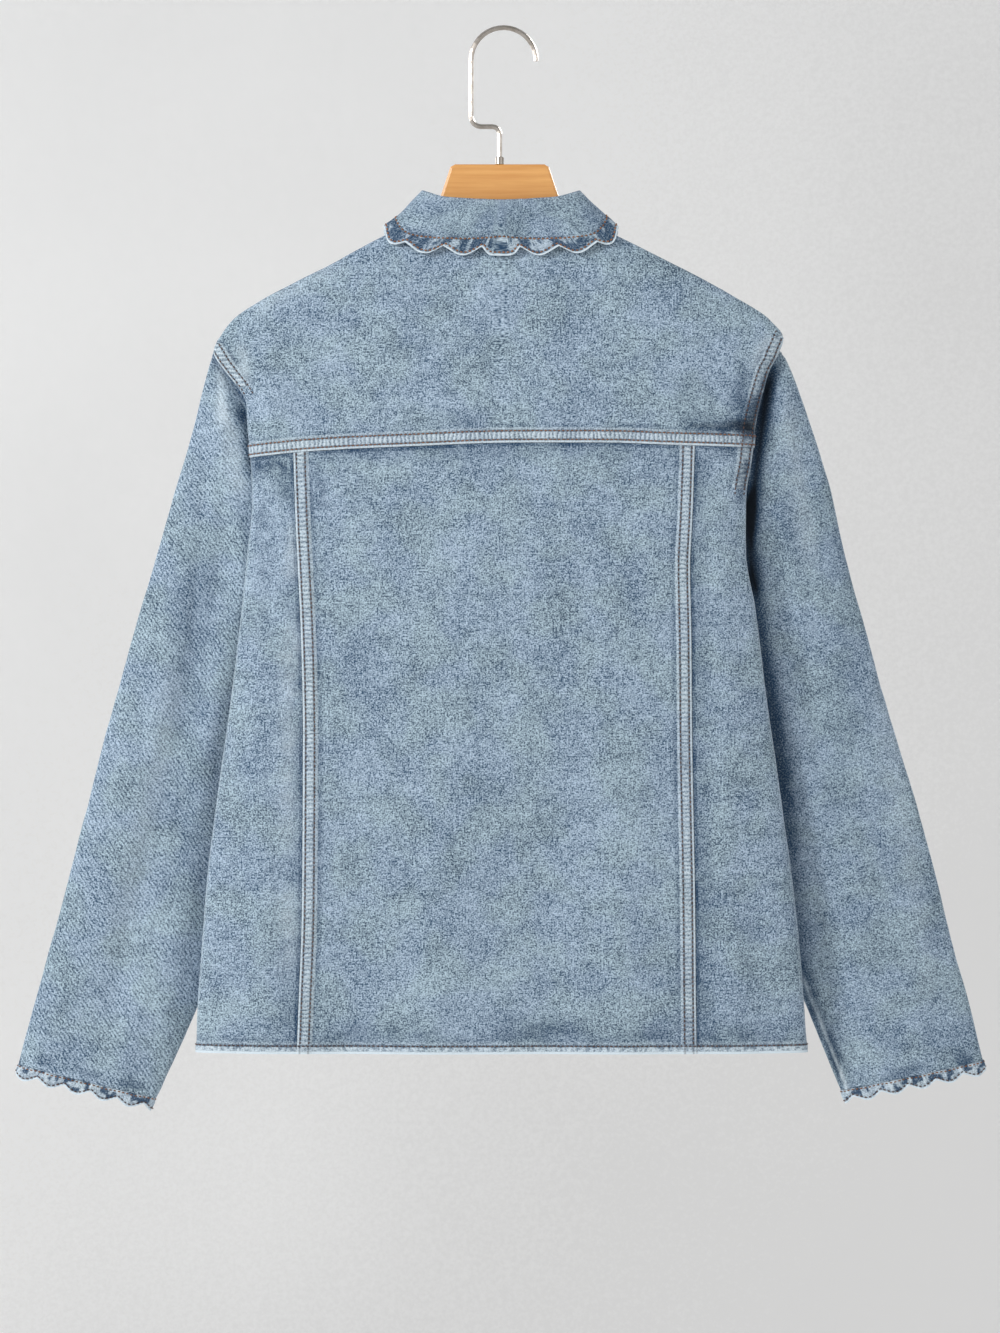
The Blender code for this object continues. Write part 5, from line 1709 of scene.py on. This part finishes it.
def varnished_wood():
    made, tree, shader = new_material("varnished_wood")
    where = object_place(tree)
    grain = noise(tree, where, 1.0, 4.0, 0.6, (14.0, 60.0, 260.0))
    broad = noise(tree, where, 1.0, 2.0, 0.5, (5.0, 20.0, 55.0))
    tone = ramp(tree, total(tree, times(tree, grain, 0.6), times(tree, broad, 0.4)), 0.35, 0.68)
    colour = mix_colour(tree, tone, (0.79, 0.41, 0.130), (0.61, 0.255, 0.060))
    coated(tree, shader, colour, {"Roughness": 0.42, "Coat Weight": 0.3, "Coat Roughness": 0.25})
    bumped(tree, shader, grain, 0.12)
    return made


# Stage, light and camera, in metres, except the sensor

VIEW_CENTRE = (-0.0008, 0.0, -0.4837)
VIEW_DISTANCE = 2.8
FRAME_HEIGHT = 1.0131
SENSOR = 36.0
FLOOR = -4.4
BOWL_RADIUS = 7.0
SWEEP = 2.4
BOWL_HEIGHT = 9.0
BOWL_STEPS = 96
WALL_PALE = (1.0, 1.0, 0.995)
WALL_DIM = (0.74, 0.735, 0.73)
WALL_GLOW = 0.115
ROOM_SHADE = (0.96, 0.98, 1.0, 1.0)
ROOM_STRENGTH = 0.52
LIT_POINT = Vector((0.0, 0.0, -0.45))


def make_camera():
    data = bpy.data.cameras.new("camera")
    data.sensor_width = SENSOR
    data.lens = SENSOR * VIEW_DISTANCE / FRAME_HEIGHT
    camera = placed("camera", data)
    camera.location = (VIEW_CENTRE[0], -VIEW_DISTANCE, VIEW_CENTRE[2])
    camera.rotation_euler = (math.pi / 2, 0, 0)
    bpy.context.scene.camera = camera


def pale_paint():
    """The wall's paint, with painted light: a little brighter at one side and darker lower down."""
    made, tree, shader = new_material("pale_paint")
    where = object_place(tree)
    axes = axes_of(tree, where)
    # Painted light: brighter to the left, dimmer to the right.
    fall = ramp(tree, axes["X"], -1.4, 1.6)
    grit = ramp(tree, noise(tree, where, 90.0, 2.0, 0.7), 0.35, 0.65, -0.1, 0.1)
    # Painted shade: darker lower down.
    painted_shade_low = ramp(tree, axes["Z"], 0.6, -2.2, 0.0, 0.4)
    tone = clamped(total(tree, times(tree, fall, 0.88), noise(tree, where, 0.6), grit, painted_shade_low, -0.43))
    numbers = {"Roughness": 0.95, "Emission Color": (1.0, 1.0, 1.0, 1.0), "Emission Strength": WALL_GLOW}
    coated(tree, shader, mix_colour(tree, tone, WALL_PALE, WALL_DIM), numbers)
    return made


def make_stage():
    """A pale floor that sweeps up into a pale wall all round."""
    angles = np.radians(np.linspace(-90, 0, 24))
    profile = [(0.0, 0, FLOOR)]
    for angle in angles:
        across = BOWL_RADIUS - SWEEP + SWEEP * math.cos(angle)
        profile.append((across, 0, FLOOR + SWEEP + SWEEP * math.sin(angle)))
    profile.append((BOWL_RADIUS, 0, FLOOR + BOWL_HEIGHT))
    data = bpy.data.meshes.new("backdrop")
    data.from_pydata(profile, [(i, i + 1) for i in range(len(profile) - 1)], [])
    data.materials.append(pale_paint())
    backdrop = placed("backdrop", data)
    screw = backdrop.modifiers.new("Screw", "SCREW")
    screw.steps = screw.render_steps = BOWL_STEPS
    screw.use_merge_vertices = True
    screw.use_smooth_shade = True


def make_light(name, place, size, power):
    data = bpy.data.lights.new(name, "AREA")
    data.shape = "DISK"
    data.size = size
    data.energy = power
    lamp = placed(name, data)
    lamp.location = place
    lamp.rotation_euler = (LIT_POINT - Vector(place)).to_track_quat("-Z", "Y").to_euler()
    lamp.visible_camera = False


def make_lights():
    world = bpy.data.worlds.new("pale_room")
    world.use_nodes = True
    background = world.node_tree.nodes["Background"]
    background.inputs["Color"].default_value = ROOM_SHADE
    background.inputs["Strength"].default_value = ROOM_STRENGTH
    bpy.context.scene.world = world
    bpy.context.scene.view_settings.view_transform = "Standard"
    make_light("key", (-2.1, -1.7, 0.6), 0.7, 44.0)
    make_light("fill_front", (2.6, -3.4, 0.4), 2.6, 14.0)
    make_light("fill_back", (1.9, 3.2, 1.3), 1.6, 80.0)
    make_light("fill_back_side", (-3.0, 2.2, 0.4), 2.4, 34.0)


# The whole jacket

BUTTONS = 6
BROWN_SEWN = ("center", "armholes", "side_left", "side_right", "scallops_left", "scallops_right")


def main():
    make_camera()
    make_stage()
    make_lights()
    cloths = {
        "sleeve_left": denim("denim_sleeve_left", 0.515, 1.9, 0.4, 0.45),
        # The right sleeve's denim has a lower middle tone than the left's: painted shade for the side away from
        # the light.
        "sleeve_right": denim("denim_sleeve_right", 0.47, 1.9, 0.5, 0.15),
    }
    body_denim = denim("denim_body", 0.52, 2.2, 0.7, 0.0)
    brown = thread("thread_brown", (0.060, 0.034, 0.030), (0.11, 0.060, 0.046))
    rust = thread("thread_rust", (0.15, 0.065, 0.032), (0.26, 0.110, 0.050))
    copper = thread("thread_copper", (0.19, 0.085, 0.042), (0.31, 0.140, 0.070))
    nickel = nickel_wire()
    wood = varnished_wood()
    rows = {"center": make_back_center()}
    rows["yoke"], rows["armholes"] = make_back_yoke()
    collar_rows = make_collar_fall()
    make_collar_stand()
    for side in ("left", "right"):
        rows[f"side_{side}"] = make_back_side(side)
        rows[f"front_{side}"] = make_front(side)
        rows[f"cuff_{side}"], rows[f"scallops_{side}"] = make_cuff(side)
        make_sleeve(side)
    rows["bands"] = make_front_band("front_band_left", 0.0)
    rows["bands"] += make_front_band("front_band_right", WALL + SEAM_GAP)
    for piece in bpy.data.objects:
        if "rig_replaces" in piece and piece.get("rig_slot") == "denim":
            name = piece.name.removesuffix("_cloth")
            piece.data.materials.append(cloths.get(name, body_denim))
    stitches("stitches_collar", collar_rows, copper, COLLAR_THREAD)
    for name, paths in rows.items():
        stitches(f"stitches_{name}", paths, brown if name in BROWN_SEWN else rust)
    for number in range(1, BUTTONS + 1):
        make_button(f"button_{number}", nickel)
    make_hanger(wood, nickel)


main()
